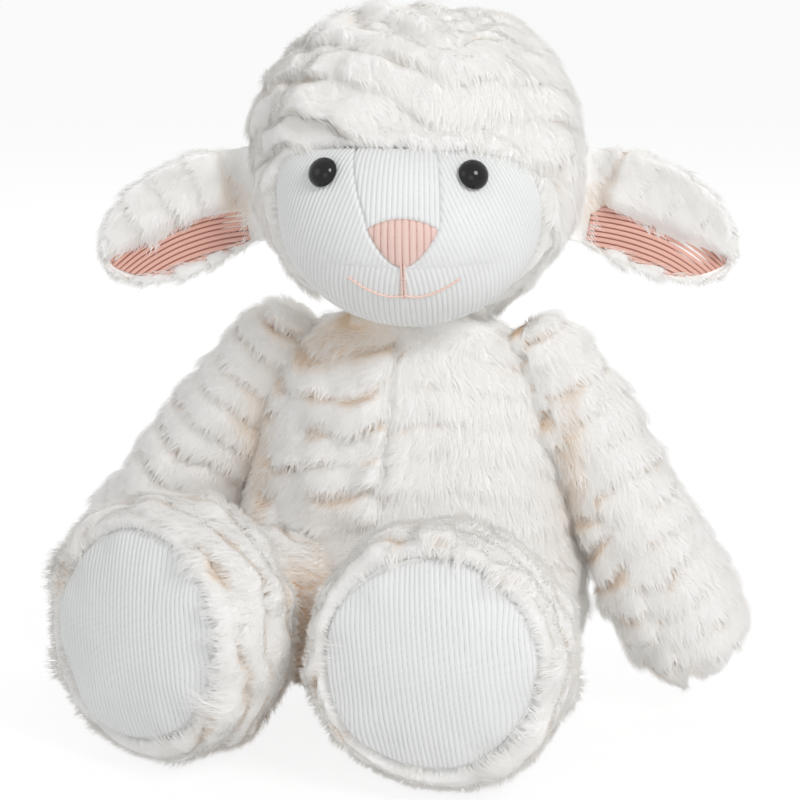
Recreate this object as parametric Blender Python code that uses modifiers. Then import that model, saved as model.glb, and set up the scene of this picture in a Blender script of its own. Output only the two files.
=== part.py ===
"""A sitting plush sheep: fur covers round stuffed cores, a corduroy face, safety eyes and hinged limbs."""

import math

import bmesh
import bpy
from mathutils import Matrix, Vector

# Sheets of fabric and the play between pieces.
CLEARANCE = 0.0003
FUR_WALL = 0.007
CORDUROY = 0.0016
SOCKET_PLAY = 0.0005
FLAT_DEPTH = 0.0005
OVERRUN = 0.004

# Body, a pear that swells to the seat. Left and right are the sheep's own.
TORSO_HEIGHT = 0.166
TORSO_WIDTH = 0.150
TORSO_DEPTH = 0.124
TORSO_WIDTH_SHARES = [
    (-1.0, 1.06),
    (-0.6, 1.09),
    (-0.35, 1.03),
    (-0.04, 0.91),
    (0.2, 0.84),
    (0.45, 0.78),
    (0.8, 0.76),
    (1.0, 0.58),
]
TORSO_DEPTH_SHARES = [(-1.0, 1.03), (-0.5, 1.06), (0.0, 1.0), (0.5, 0.86), (1.0, 0.72)]
TORSO_SEAT_FULLNESS = 4.0
TORSO_TOP_FULLNESS = 2.7
SEAT_FLAT_SHARE = 0.03
NECK_DOME = 0.060

# Waves of the pile, rings that overhang each other downwards.
WAVE_PITCH = 0.0135
WAVE_RELIEF = 0.0050
WAVE_DRIFT = 0.0042
WAVE_CREST_SHARE = 0.2
WAVE_MIDDLE_SHARE = 0.55
WAVE_FALL_POWER = 1.5
TORSO_DRIFT_SHARES = [(2, 0.6, 1.0), (3, 2.0, 0.7)]
HEAD_DRIFT_SHARES = [(2, 1.1, 1.0), (3, 0.4, 0.7)]
HEAD_WAVE_PITCH = 0.0190
HEAD_WAVE_RELIEF = 0.0062
HEAD_WAVE_LEAN_SHARE = 0.5
NECK_CALM_SHARE = 0.78
NECK_CALM_RATE = 4
EAR_CALM_SHARE = 0.32
EAR_CALM_START_SHARE = 0.45
TORSO_ACROSS = 22
TORSO_RINGS = 40
HEAD_ACROSS = 28
HEAD_RINGS = 29

# Pellet bag that weights the seat.
BAG_WIDTH = 0.074
BAG_DEPTH = 0.042
BAG_HEIGHT = 0.024
BAG_BACK = 0.014
BAG_ACROSS = 14
BAG_DOWN = 9

# Head, a ball of fur with the face let into its front.
HEAD_WIDTH = 0.140
HEAD_DEPTH = 0.128
HEAD_HEIGHT = 0.132
HEAD_RISE = 0.2175
HEAD_SIDE = 0.002
HEAD_YAW = math.radians(14)

# Face, laid out in longitude and latitude over the head.
FACE_YAW = math.radians(-4.5)
FACE_HALF_LONGITUDE = math.radians(52)
FACE_TOP_LATITUDE = math.radians(15)
FACE_LEAN = math.radians(3.5)
FACE_LEAN_START_SHARE = 0.4
FACE_LOW_LATITUDE = math.radians(-58)
FACE_CORNER_SHARE = 0.44
FACE_BULGE = 0.020
FACE_SIDE_FALL = 0.6
FACE_TOP_FALL = 0.5
CHIN_OPENING = 0.020
OPENING_SIDE = 12
OPENING_INNER_SHARE = 0.9
OPENING_RING_SHARES = (0.5, 1.5)
OPENING_TIP_SHARES = (0.3, 1.7)
FACE_STEP_SHARE = 0.01
BRIDGE_SHARE = 0.29
NOSE_WIDTH_SHARE = 0.65
NOSE_TOP_SHARE = 0.42
NOSE_LOW_SHARE = 0.04
NOSE_SIDE_POWER = 0.55
FOREHEAD_ROWS = 4
NOSE_ROWS = 6
CHIN_ROWS = 5
STRIP_GAPS = 2.6
LEAST_GAPS = 4
MOUTH_WIDTH_SHARE = 0.30
MOUTH_LOW_SHARE = -0.22
MOUTH_RISE_SHARE = 0.14
MOUTH_CURVE_POWER = 1.6
MOUTH_THREAD = 0.0011
MOUTH_STEPS = 12
MOUTH_STEM_STEPS = 5

# Safety eyes.
EYE_DIAMETER = 0.012
EYE_HEIGHT = 0.0052
EYE_ACROSS_SHARE = 0.445
EYE_UP_SHARE = 0.74
SHANK_DIAMETER = 0.0036
SHANK_LENGTH = 0.011
WASHER_DIAMETER = 0.014
WASHER_THICKNESS = 0.0016
WASHER_DROP = 0.0016
EYE_RINGS = 7

# Ears, cupped leaves with a corduroy lining.
EAR_LENGTH = 0.062
EAR_HALF_HEIGHT = 0.022
EAR_CUP = 0.010
EAR_FUR = 0.0042
EAR_DROP = 0.012
EAR_SAG = 0.013
EAR_GROOVE = 0.0028
EAR_LINING_SHARE = 0.80
EAR_LINING_START_SHARE = 0.16
EAR_TIP_POWER = 2.4
EAR_TIP_ROUNDING = 0.62
EAR_ROOT_SHARE = 0.86
EAR_SPREAD_SHARE = 0.5
EAR_TIP_SHARE = 0.96
EAR_CUP_START_SHARE = 0.2
EAR_CUP_FULL_SHARE = 0.4
EAR_GRID = (8, 9)
LINING_GRID = (7, 7)

# Arms, hung from the shoulders.
SHOULDER_SIDE_SHARE = 0.373
SHOULDER_RISE = 0.140
SHOULDER_RADIUS = 0.0205
ARM_MIDDLE_RADIUS = 0.0220
HAND_RADIUS = 0.0265
ARM_LENGTH = 0.116
ARM_LEFT_ANGLE = math.radians(28.5)
ARM_RIGHT_ANGLE = math.radians(33)
ARM_STATIONS = [
    (0, SHOULDER_RADIUS),
    (ARM_LENGTH * 0.22, SHOULDER_RADIUS),
    (ARM_LENGTH * 0.55, ARM_MIDDLE_RADIUS),
    (ARM_LENGTH * 0.75, (ARM_MIDDLE_RADIUS + HAND_RADIUS) / 2),
    (ARM_LENGTH * 0.9, HAND_RADIUS * 0.98),
    (ARM_LENGTH, HAND_RADIUS),
]

# Legs, straight out from the hips, with a broad sole at the end.
HIP_SIDE_SHARE = 0.28
HIP_FORWARD = 0.051
HIP_RADIUS = 0.033
SHANK_WAIST_RADIUS = 0.029
FOOT_RADIUS = 0.0525
LEG_LENGTH = 0.084
LEG_TILT = math.radians(4)
FOOT_THICKNESS = 0.045
FOOT_DRUM_SHARE = 0.36
SHANK_ROW_SHARES = [(0.30, 0.6), (0.62, 1.0)]
FOOT_ROW_SHARES = [
    (0.12, -0.12, 0.2),
    (0.55, 0, 0.7),
    (0.88, 0.14, 0.5),
    (1, FOOT_DRUM_SHARE, 0),
    (1, 0.66, 0),
]
RIM_ROW_SHARE = 0.14
RIM_EDGE_SHARE = 0.25
SOLE_ROW_SHARES = [1, 0.82, 0.55, 0.28, 0]
SOLE_DIAMETER = 0.081
SOLE_DOME = 0.006
LEG_LEFT_SPLAY = math.radians(-2)
LEG_RIGHT_SPLAY = math.radians(-25)

# Tail, a short stub.
TAIL_RISE = 0.050
TAIL_ROOT_RADIUS = 0.012
TAIL_RADIUS = 0.013
TAIL_STAND = 0.0025
TAIL_LENGTH = 0.028
TAIL_ANGLE = math.radians(-25)
TAIL_STATIONS = [
    (0, TAIL_ROOT_RADIUS),
    (TAIL_LENGTH * 0.35, TAIL_ROOT_RADIUS * 0.96),
    (TAIL_LENGTH * 0.75, TAIL_RADIUS),
    (TAIL_LENGTH, TAIL_RADIUS * 0.9),
]

ROOT_OPENING = 0.006
TURN_STEPS = 14
LEG_STEPS = 18
HIP_RINGS = 6
LIMB_RINGS = 5
TAIL_STEPS = 12
LIMB_ARC_END = 8
MERGE_DISTANCE = 0.00005


def clear_scene():
    for item in list(bpy.data.objects):
        bpy.data.objects.remove(item, do_unlink=True)


def new_collection(name):
    collection = bpy.data.collections.new(name)
    bpy.context.scene.collection.children.link(collection)
    return collection


clear_scene()
SHEEP = new_collection("plush_sheep")
CUTTERS = new_collection("cutters")
CUTTERS.hide_render = True


def make_material(name, colour, roughness, metallic=0.0):
    material = bpy.data.materials.new(name)
    material.use_nodes = True
    shader = material.node_tree.nodes["Principled BSDF"]
    shader.inputs["Base Color"].default_value = (*colour, 1.0)
    shader.inputs["Roughness"].default_value = roughness
    shader.inputs["Metallic"].default_value = metallic
    return material


FUR = (0.88, 0.85, 0.80)
WHITE_CORDUROY = (0.82, 0.83, 0.82)
PINK_CORDUROY = (0.82, 0.48, 0.40)
PINK_THREAD = (0.78, 0.45, 0.36)
FIBRE = (0.90, 0.90, 0.90)
PELLET_CLOTH = (0.75, 0.72, 0.66)
EYE_BLACK = (0.012, 0.012, 0.014)
WASHER_WHITE = (0.80, 0.80, 0.78)


def finish(item, colour, roughness=0.9):
    """Puts the piece in the sheep's collection with its own material, shaded smooth."""
    item.data.materials.clear()
    item.data.materials.append(make_material(item.name, colour, roughness))
    for face in item.data.polygons:
        face.use_smooth = True
    return item


def object_from(bm, name, collection):
    mesh = bpy.data.meshes.new(name)
    bm.to_mesh(mesh)
    bm.free()
    item = bpy.data.objects.new(name, mesh)
    collection.objects.link(item)
    return item


def as_cutter(item):
    item.hide_render = True
    item.display_type = "WIRE"
    return item


def between(table, share):
    """Value of a table of (place, value) shares at a place, eased between its rows."""
    for (low, first), (high, second) in zip(table, table[1:]):
        if share <= high:
            step = min(max((share - low) / (high - low), 0), 1)
            step = step * step * (3 - 2 * step)
            return first + (second - first) * step
    return table[-1][1]


def ball(name, collection, place, across=20, down=12):
    """A closed form: each point of a unit sphere is moved by the given function."""
    bm = bmesh.new()
    bmesh.ops.create_uvsphere(bm, u_segments=across, v_segments=down, radius=1)
    for vert in bm.verts:
        vert.co = place(vert.co.copy())
    bmesh.ops.recalc_face_normals(bm, faces=bm.faces)
    return object_from(bm, name, collection)


def wall(item, thickness, outward=False):
    """Gives a surface a wall, inwards unless told otherwise."""
    solidify = item.modifiers.new("wall", "SOLIDIFY")
    solidify.thickness = thickness
    solidify.offset = 1 if outward else -1
    return item


def shrink(item, depth):
    """Moves every point of a closed form inwards along its normal."""
    inset = item.modifiers.new("inset", "DISPLACE")
    inset.strength = -depth
    inset.mid_level = 0
    return item


def cut(item, cutter, operation="DIFFERENCE"):
    boolean = item.modifiers.new(cutter.name, "BOOLEAN")
    boolean.operation = operation
    boolean.object = cutter
    boolean.solver = "EXACT"
    return item


def turned(name, collection, profile, matrix, steps=TURN_STEPS):
    """A closed or axis-to-axis profile of (radius, height), down its outer side, turned about its own Z."""
    mesh = bpy.data.meshes.new(name)
    points = [Vector((radius, 0, height)) for radius, height in profile]
    edges = [(index, index + 1) for index in range(len(points) - 1)]
    if profile[0][0] > 0 and profile[-1][0] > 0:
        edges.append((len(points) - 1, 0))
    mesh.from_pydata(points, edges, [])
    item = bpy.data.objects.new(name, mesh)
    collection.objects.link(item)
    item.matrix_world = matrix
    screw = item.modifiers.new("turn", "SCREW")
    screw.steps = steps
    screw.render_steps = steps
    screw.use_merge_vertices = True
    screw.merge_threshold = MERGE_DISTANCE
    screw.use_normal_calculate = False
    return item


def arc(centre_radius, centre_height, radius, start, end, count):
    """Points of an arc in (radius, height), with angles in degrees from the outward direction."""
    points = []
    for index in range(count + 1):
        angle = math.radians(start + (end - start) * index / count)
        points.append((centre_radius + radius * math.cos(angle), centre_height + radius * math.sin(angle)))
    return points


def sphere_cutter(name, centre, radius, across=24, down=14):
    bm = bmesh.new()
    bmesh.ops.create_uvsphere(bm, u_segments=across, v_segments=down, radius=radius)
    bmesh.ops.translate(bm, verts=bm.verts, vec=centre)
    return as_cutter(object_from(bm, name, CUTTERS))


def rod_cutter(name, start, end, radius, sides=24):
    """A closed cylinder between two points."""
    axis = end - start
    bm = bmesh.new()
    turn = Vector((0, 0, 1)).rotation_difference(axis).to_matrix().to_4x4()
    matrix = Matrix.Translation((start + end) / 2) @ turn
    bmesh.ops.create_cone(
        bm, cap_ends=True, segments=sides, radius1=radius, radius2=radius, depth=axis.length, matrix=matrix
    )
    return as_cutter(object_from(bm, name, CUTTERS))


# Body frames: the neck axis is the origin's vertical, and the sheep looks along -Y.
HEAD_CENTRE = Vector((HEAD_SIDE, 0, HEAD_RISE))
HEAD_MATRIX = Matrix.Translation(HEAD_CENTRE) @ Matrix.Rotation(HEAD_YAW, 4, "Z")
DOME_CENTRE = Vector((0, 0, TORSO_HEIGHT - NECK_DOME))


def arm_matrix(side):
    """Frame of an arm: origin on the shoulder, +Z down along the arm."""
    angle = ARM_LEFT_ANGLE if side > 0 else ARM_RIGHT_ANGLE
    turn = Matrix.Rotation(side * (math.pi - angle), 4, "Y")
    return Matrix.Translation((side * TORSO_WIDTH * SHOULDER_SIDE_SHARE, 0, SHOULDER_RISE)) @ turn


def leg_matrix(side, splay):
    """Frame of a leg: origin on the hip, +Z forward along the leg."""
    turn = Matrix.Rotation(splay, 4, "Z") @ Matrix.Rotation(math.pi / 2 - LEG_TILT, 4, "X")
    heel = LEG_LENGTH - FOOT_THICKNESS * (1 - FOOT_DRUM_SHARE)
    rise = FOOT_RADIUS - FLAT_DEPTH - math.sin(LEG_TILT) * heel
    return Matrix.Translation((side * TORSO_WIDTH * HIP_SIDE_SHARE, -HIP_FORWARD, rise)) @ turn


def tail_matrix():
    """Frame of the tail: origin on its root, +Z out and down."""
    turn = Matrix.Rotation(-math.pi / 2 + TAIL_ANGLE, 4, "X")
    return Matrix.Translation((0, torso_half_depth(TAIL_RISE) + TAIL_STAND, TAIL_RISE)) @ turn


def wave(phase):
    """Height of the pile's wave at a phase, about its middle: a short rise, then a long fall."""
    step = phase - math.floor(phase)
    if step < WAVE_CREST_SHARE:
        rise = step / WAVE_CREST_SHARE
        height = rise * rise * (3 - 2 * rise)
    else:
        height = 1 - ((step - WAVE_CREST_SHARE) / (1 - WAVE_CREST_SHARE)) ** WAVE_FALL_POWER
    return height - WAVE_MIDDLE_SHARE


def drift(turn, shares):
    """How far the waves wander at a turn about the body; each row gives a count, a shift and a weight."""
    return WAVE_DRIFT * sum(weight * math.sin(count * turn + shift) for count, shift, weight in shares)


def evened(point):
    """Moves the rings of a unit sphere towards even heights."""
    level = (point.z + math.asin(min(max(point.z, -1), 1)) * 2 / math.pi) / 2
    ring = math.hypot(point.x, point.y)
    grow = math.sqrt(max(1 - level * level, 0)) / ring if ring > 0 else 0
    return Vector((point.x * grow, point.y * grow, level))


def torso_place(point, waves=0):
    """Maps the unit sphere to the pear, with a flattened seat."""
    fullness = TORSO_SEAT_FULLNESS if point.z < 0 else TORSO_TOP_FULLNESS
    reach = math.sqrt(max(1 - point.z * point.z, 0)) ** (2 / fullness)
    turn = math.atan2(point.y, point.x)
    level = max((point.z + 1) / 2 - SEAT_FLAT_SHARE, 0) / (1 - SEAT_FLAT_SHARE)
    height = level * (TORSO_HEIGHT + FLAT_DEPTH) - FLAT_DEPTH
    fade = min(max(height / WAVE_PITCH, 0), 1) * min(max((NECK_CALM_SHARE - point.z) * NECK_CALM_RATE, 0), 1)
    phase = (height + drift(turn, TORSO_DRIFT_SHARES)) / WAVE_PITCH
    stand = waves * WAVE_RELIEF * fade * wave(phase)
    return Vector(
        (
            (TORSO_WIDTH / 2 * between(TORSO_WIDTH_SHARES, point.z) + stand) * reach * math.cos(turn),
            (TORSO_DEPTH / 2 * between(TORSO_DEPTH_SHARES, point.z) + stand) * reach * math.sin(turn),
            height,
        )
    )


def wavy_torso_place(point):
    """Maps the unit sphere to the pear with the waves of its pile."""
    return torso_place(evened(point), 1)


def torso_half_depth(height):
    """Half depth of the pear at a height above the floor."""
    level = (height + FLAT_DEPTH) / (TORSO_HEIGHT + FLAT_DEPTH) * (1 - SEAT_FLAT_SHARE) + SEAT_FLAT_SHARE
    level = level * 2 - 1
    return torso_place(Vector((0, math.sqrt(1 - level * level), level))).y


def floor_cutter():
    bm = bmesh.new()
    bmesh.ops.create_cube(bm, size=1)
    bmesh.ops.scale(bm, verts=bm.verts, vec=(TORSO_WIDTH * 4, TORSO_WIDTH * 4, TORSO_WIDTH))
    bmesh.ops.translate(bm, verts=bm.verts, vec=(0, 0, -TORSO_WIDTH / 2))
    return as_cutter(object_from(bm, "floor", CUTTERS))


FLOOR = floor_cutter()


def limb_profile(stations, end_radius, inset):
    """Outer line of a limb from its root pole to its end, shrunk by the inset.

    The root is a ball about the origin, the stations give (height, radius), and a ball closes the end.
    """
    root = stations[0][1] - inset
    end_height = stations[-1][0]
    points = arc(0, 0, root, -90, -LIMB_ARC_END, LIMB_RINGS)
    points += [(radius - inset, height) for height, radius in stations[1:-1]]
    points += arc(0, end_height, end_radius - inset, LIMB_ARC_END, 90, LIMB_RINGS)
    return points


def clip_root(points, opening):
    """Starts a profile at the given radius, so that the root stays open."""
    for index, (radius, height) in enumerate(points):
        if radius > opening:
            before = points[index - 1]
            step = (opening - before[0]) / (radius - before[0])
            first = (opening, before[1] + (height - before[1]) * step)
            return [first] + points[index:]
    return points


def on_axis(points):
    """Sets the ends of a profile that stand on the axis exactly there."""
    return [(0.0 if abs(radius) < CLEARANCE / 2 else radius, height) for radius, height in points]


def build_torso():
    cover = ball("torso_cover", SHEEP, wavy_torso_place, TORSO_ACROSS, TORSO_RINGS)
    hollow = ball("torso_hollow", CUTTERS, torso_place)
    shrink(as_cutter(hollow), FUR_WALL)
    cut(cover, hollow)
    stuffing = ball("torso_stuffing", SHEEP, torso_place)
    shrink(stuffing, FUR_WALL + CLEARANCE * 2)
    for side, name in ((1, "left"), (-1, "right")):
        shoulder = arm_matrix(side).translation
        socket = sphere_cutter(f"shoulder_socket_{name}", shoulder, SHOULDER_RADIUS + SOCKET_PLAY)
        leg = leg_matrix(side, LEG_LEFT_SPLAY if side > 0 else LEG_RIGHT_SPLAY)
        hip = leg.translation
        hip_socket = sphere_cutter(f"hip_socket_{name}", hip, HIP_RADIUS + SOCKET_PLAY)
        ahead = leg @ Vector((0, 0, LEG_LENGTH / 2))
        leg_room = rod_cutter(f"leg_room_{name}", hip, ahead, HIP_RADIUS + SOCKET_PLAY)
        arm_line = on_axis(limb_profile(ARM_STATIONS, HAND_RADIUS, -SOCKET_PLAY))
        armpit = as_cutter(turned(f"armpit_{name}", CUTTERS, arm_line[::-1], arm_matrix(side)))
        for piece in (cover, stuffing):
            cut(piece, socket)
            cut(piece, armpit)
            cut(piece, hip_socket)
            cut(piece, leg_room)
    tail_socket = sphere_cutter("tail_socket", tail_matrix().translation, TAIL_ROOT_RADIUS + SOCKET_PLAY)
    cut(cover, tail_socket)
    cut(stuffing, tail_socket)
    cut(cover, FLOOR)
    bag_low = FUR_WALL - FLAT_DEPTH + CLEARANCE

    def bag_place(grow):
        def place(point):
            return Vector(
                (
                    point.x * (BAG_WIDTH / 2 + grow),
                    BAG_BACK + point.y * (BAG_DEPTH / 2 + grow),
                    bag_low + (point.z + 1) * BAG_HEIGHT / 2 + point.z * grow,
                )
            )

        return place

    pocket = as_cutter(ball("bag_pocket", CUTTERS, bag_place(CLEARANCE), BAG_ACROSS, BAG_DOWN))
    cut(stuffing, pocket)
    under_pocket = rod_cutter(
        "bag_mouth",
        Vector((0, BAG_BACK, 0)),
        Vector((0, BAG_BACK, bag_low + BAG_HEIGHT / 2)),
        BAG_DEPTH / 4,
    )
    cut(stuffing, under_pocket)
    bag = ball("seat_pellet_bag", SHEEP, bag_place(0), BAG_ACROSS, BAG_DOWN)
    finish(cover, FUR)
    finish(stuffing, FIBRE)
    finish(bag, PELLET_CLOTH)


def head_place(point, waves=0):
    """Maps the unit sphere to the ball of the head."""
    turn = math.atan2(point.y, point.x)
    wander = drift(turn, HEAD_DRIFT_SHARES) * math.hypot(point.x, point.y)
    rise = point.z * HEAD_HEIGHT / 2 + point.y * HEAD_DEPTH / 2 * HEAD_WAVE_LEAN_SHARE
    beside = min(max((abs(point.x) - EAR_CALM_START_SHARE) * 2, 0), 1)
    calm = 1 - beside * (1 - min((point.y / EAR_CALM_SHARE) ** 2, 1))
    stand = waves * HEAD_WAVE_RELIEF * calm * wave((rise + wander) / HEAD_WAVE_PITCH)
    return HEAD_MATRIX @ Vector(
        (
            point.x * (HEAD_WIDTH / 2 + stand),
            point.y * (HEAD_DEPTH / 2 + stand),
            point.z * (HEAD_HEIGHT / 2 + stand),
        )
    )


def face_point(across, up, proud):
    """World point of the face: shares of its half width and half height, and a height off its back."""
    bend = FACE_CORNER_SHARE
    lean = FACE_LEAN * max(up - FACE_LEAN_START_SHARE, 0) / (1 - FACE_LEAN_START_SHARE)
    longitude = FACE_YAW - lean + FACE_HALF_LONGITUDE * across * math.sqrt(1 - bend * up * up)
    middle = (FACE_TOP_LATITUDE + FACE_LOW_LATITUDE) / 2
    half = (FACE_TOP_LATITUDE - FACE_LOW_LATITUDE) / 2
    latitude = middle + half * up * math.sqrt(1 - bend * across * across)
    full = max(1 - across * across, 0) ** FACE_SIDE_FALL * max(1 - up * up, 0) ** FACE_TOP_FALL
    reach = proud + FACE_BULGE * full - FUR_WALL
    direction = Vector(
        (
            math.sin(longitude) * math.cos(latitude),
            -math.cos(longitude) * math.cos(latitude),
            math.sin(latitude),
        )
    )
    return HEAD_MATRIX @ Vector(
        (
            direction.x * (HEAD_WIDTH / 2 + reach),
            direction.y * (HEAD_DEPTH / 2 + reach),
            direction.z * (HEAD_HEIGHT / 2 + reach),
        )
    )


def face_normal(across, up):
    """Outward direction of the face at a point."""
    step = FACE_STEP_SHARE
    centre = face_point(across, up, 0)
    side = face_point(across + step, up, 0) - centre
    rise = face_point(across, up + step, 0) - centre
    return side.cross(rise).normalized()


def spread(low, high, count):
    """Evenly spaced places from low to high."""
    return [low + (high - low) * index / count for index in range(count + 1)]


def face_grid(name, collection, left, right, rows, columns, proud):
    """A patch of the face between two seams, each given as a function of the height share."""
    bm = bmesh.new()
    last = len(rows) - 1
    bmesh.ops.create_grid(bm, x_segments=columns, y_segments=last, size=1)
    for vert in bm.verts:
        up = rows[round((vert.co.y + 1) / 2 * last)]
        start, end = left(up), right(up)
        vert.co = face_point(start + (end - start) * (vert.co.x + 1) / 2, up, proud)
    return object_from(bm, name, collection)


FACE_HALF_WIDTH = (HEAD_WIDTH / 2 + FACE_BULGE) * FACE_HALF_LONGITUDE
FACE_HALF_HEIGHT = (HEAD_HEIGHT / 2 + FACE_BULGE) * (FACE_TOP_LATITUDE - FACE_LOW_LATITUDE) / 2
SEAM_SHARE = CLEARANCE / FACE_HALF_WIDTH
SEAM_RISE_SHARE = CLEARANCE / FACE_HALF_HEIGHT
RIM_SHARE = 0.955
STRIP_COLUMNS = 4
CHEEK_COLUMNS = 6
FILLING_ROWS = 8


def seam(up):
    """Half width of the middle strip at a height: the bridge above, the nose, then one middle seam."""
    if up >= NOSE_TOP_SHARE:
        widen = (up - NOSE_TOP_SHARE) / (1 - NOSE_TOP_SHARE)
        return BRIDGE_SHARE * (NOSE_WIDTH_SHARE + (1 - NOSE_WIDTH_SHARE) * widen)
    if up < NOSE_LOW_SHARE:
        return 0
    fall = (up - NOSE_LOW_SHARE) / (NOSE_TOP_SHARE - NOSE_LOW_SHARE)
    return max(BRIDGE_SHARE * NOSE_WIDTH_SHARE * fall ** NOSE_SIDE_POWER, SEAM_SHARE * LEAST_GAPS)


def build_face():
    forehead = spread(NOSE_TOP_SHARE, RIM_SHARE, FOREHEAD_ROWS)
    muzzle = spread(NOSE_LOW_SHARE, NOSE_TOP_SHARE, NOSE_ROWS)
    chin = spread(-RIM_SHARE, NOSE_LOW_SHARE, CHIN_ROWS)

    def strip(name, rows):
        return face_grid(
            name,
            SHEEP,
            lambda up: -seam(up) + SEAM_SHARE * STRIP_GAPS,
            lambda up: seam(up) - SEAM_SHARE * STRIP_GAPS,
            rows,
            STRIP_COLUMNS,
            CLEARANCE,
        )

    bridge = strip("face_bridge_panel", [NOSE_TOP_SHARE + SEAM_RISE_SHARE] + forehead[1:])
    nose = strip("nose_panel", muzzle[:-1] + [NOSE_TOP_SHARE - SEAM_RISE_SHARE])
    cheeks = {}
    for side, name in ((1, "left"), (-1, "right")):
        cheeks[side] = face_grid(
            f"face_cheek_{name}",
            SHEEP,
            (lambda up: seam(up) + SEAM_SHARE) if side > 0 else (lambda up: -RIM_SHARE),
            (lambda up: RIM_SHARE) if side > 0 else (lambda up: -seam(up) - SEAM_SHARE),
            chin + muzzle[1:] + forehead[1:],
            CHEEK_COLUMNS,
            CLEARANCE,
        )
    for panel in (bridge, nose, *cheeks.values()):
        wall(panel, CORDUROY, outward=True)
    for side in (1, -1):
        build_eye(side, cheeks[side])
        finish(cheeks[side], WHITE_CORDUROY)
    finish(bridge, WHITE_CORDUROY)
    finish(nose, PINK_CORDUROY)
    build_mouth()
    return cheeks


def eye_frame(side):
    """Frame of an eye: origin on the front of the face, +Z outwards."""
    across, up = side * EYE_ACROSS_SHARE, EYE_UP_SHARE
    normal = face_normal(across, up)
    turn = Vector((0, 0, 1)).rotation_difference(normal).to_matrix().to_4x4()
    return Matrix.Translation(face_point(across, up, CLEARANCE) + normal * CORDUROY) @ turn


def build_eye(side, cheek):
    name = "left" if side > 0 else "right"
    frame = eye_frame(side)
    shank = SHANK_DIAMETER / 2
    dome = [(0.0, EYE_HEIGHT)]
    for index in range(1, EYE_RINGS + 1):
        angle = math.pi / 2 * index / EYE_RINGS
        height = CLEARANCE + (EYE_HEIGHT - CLEARANCE) * math.cos(angle)
        dome.append((EYE_DIAMETER / 2 * math.sin(angle), height))
    profile = dome + [(shank, CLEARANCE), (shank, -SHANK_LENGTH), (0.0, -SHANK_LENGTH)]
    eye = turned(f"eye_{name}", SHEEP, profile, frame)
    finish(eye, EYE_BLACK, 0.08)
    bore = shank + CLEARANCE
    top = -CORDUROY - WASHER_DROP
    ring = [
        (WASHER_DIAMETER / 2, top),
        (WASHER_DIAMETER / 2, top - WASHER_THICKNESS),
        (bore, top - WASHER_THICKNESS),
        (bore, top),
    ]
    washer = turned(f"eye_washer_{name}", SHEEP, ring, frame)
    finish(washer, WASHER_WHITE, 0.4)
    out = frame @ Vector((0, 0, OVERRUN))
    hole = rod_cutter(f"shank_hole_{name}", out, frame @ Vector((0, 0, -SHANK_LENGTH - CLEARANCE)), bore)
    cut(cheek, hole)
    return hole


def build_mouth():
    """One smile of thread with the short upright stitch below the nose."""
    proud = CLEARANCE + CORDUROY + MOUTH_THREAD / 2 + CLEARANCE
    smile = []
    for share in spread(-1, 1, MOUTH_STEPS):
        up = MOUTH_LOW_SHARE + MOUTH_RISE_SHARE * abs(share) ** MOUTH_CURVE_POWER
        smile.append(face_point(share * MOUTH_WIDTH_SHARE, up, proud))
    top = NOSE_LOW_SHARE - SEAM_RISE_SHARE * LEAST_GAPS
    upright = [face_point(0, up, proud) for up in spread(top, MOUTH_LOW_SHARE, MOUTH_STEM_STEPS)]
    thread = tube_mesh("mouth_stitching", SHEEP, smile, MOUTH_THREAD / 2)
    stem = as_cutter(tube_mesh("mouth_stem", CUTTERS, upright, MOUTH_THREAD / 2))
    cut(thread, stem, "UNION")
    finish(thread, PINK_THREAD)


def tube_mesh(name, collection, points, radius):
    """A round thread along points, turned from a curve into a closed mesh."""
    curve = bpy.data.curves.new(name, "CURVE")
    curve.dimensions = "3D"
    curve.bevel_depth = radius
    curve.bevel_resolution = 1
    curve.use_fill_caps = True
    spline = curve.splines.new("POLY")
    spline.points.add(len(points) - 1)
    for knot, point in zip(spline.points, points):
        knot.co = (*point, 1)
    wire = bpy.data.objects.new(name + "_path", curve)
    collection.objects.link(wire)
    bpy.context.view_layer.update()
    mesh = bpy.data.meshes.new_from_object(wire.evaluated_get(bpy.context.evaluated_depsgraph_get()))
    bpy.data.objects.remove(wire, do_unlink=True)
    bm = bmesh.new()
    bm.from_mesh(mesh)
    bmesh.ops.remove_doubles(bm, verts=bm.verts, dist=MERGE_DISTANCE / 5)
    bmesh.ops.recalc_face_normals(bm, faces=bm.faces)
    bpy.data.meshes.remove(mesh)
    return object_from(bm, name, collection)


def face_opening():
    """Radial cutter through the hood along the outline of the face."""
    centre = HEAD_MATRIX.translation
    places = spread(-1, 1, OPENING_SIDE)[:-1]
    square = [(place, -1) for place in places] + [(1, place) for place in places]
    square += [(-place, 1) for place in places] + [(-1, -place) for place in places]
    outline = []
    for across, up in square:
        rim = face_point(across * RIM_SHARE, up * RIM_SHARE, CLEARANCE)
        within = RIM_SHARE * OPENING_INNER_SHARE
        inner = face_point(across * within, up * within, CLEARANCE)
        out = ((rim - centre).normalized() - (inner - centre).normalized()).normalized()
        chin = CHIN_OPENING * (1 - across * across) if up == -1 else 0
        outline.append(rim + out * (CORDUROY + CLEARANCE * 3 + chin))
    bm = bmesh.new()
    rings = []
    for reach in OPENING_RING_SHARES:
        ring = []
        for point in outline:
            ring.append(bm.verts.new(centre + (point - centre) * reach))
        rings.append(ring)
    for index in range(len(outline)):
        after = (index + 1) % len(outline)
        bm.faces.new((rings[0][index], rings[0][after], rings[1][after], rings[1][index]))
    middle = face_point(0, 0, CLEARANCE) - centre
    for ring, reach in zip(rings, OPENING_TIP_SHARES):
        tip = bm.verts.new(centre + middle * reach)
        for index in range(len(ring)):
            bm.faces.new((ring[index], ring[(index + 1) % len(ring)], tip))
    bmesh.ops.recalc_face_normals(bm, faces=bm.faces)
    return as_cutter(object_from(bm, "face_opening", CUTTERS))


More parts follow.
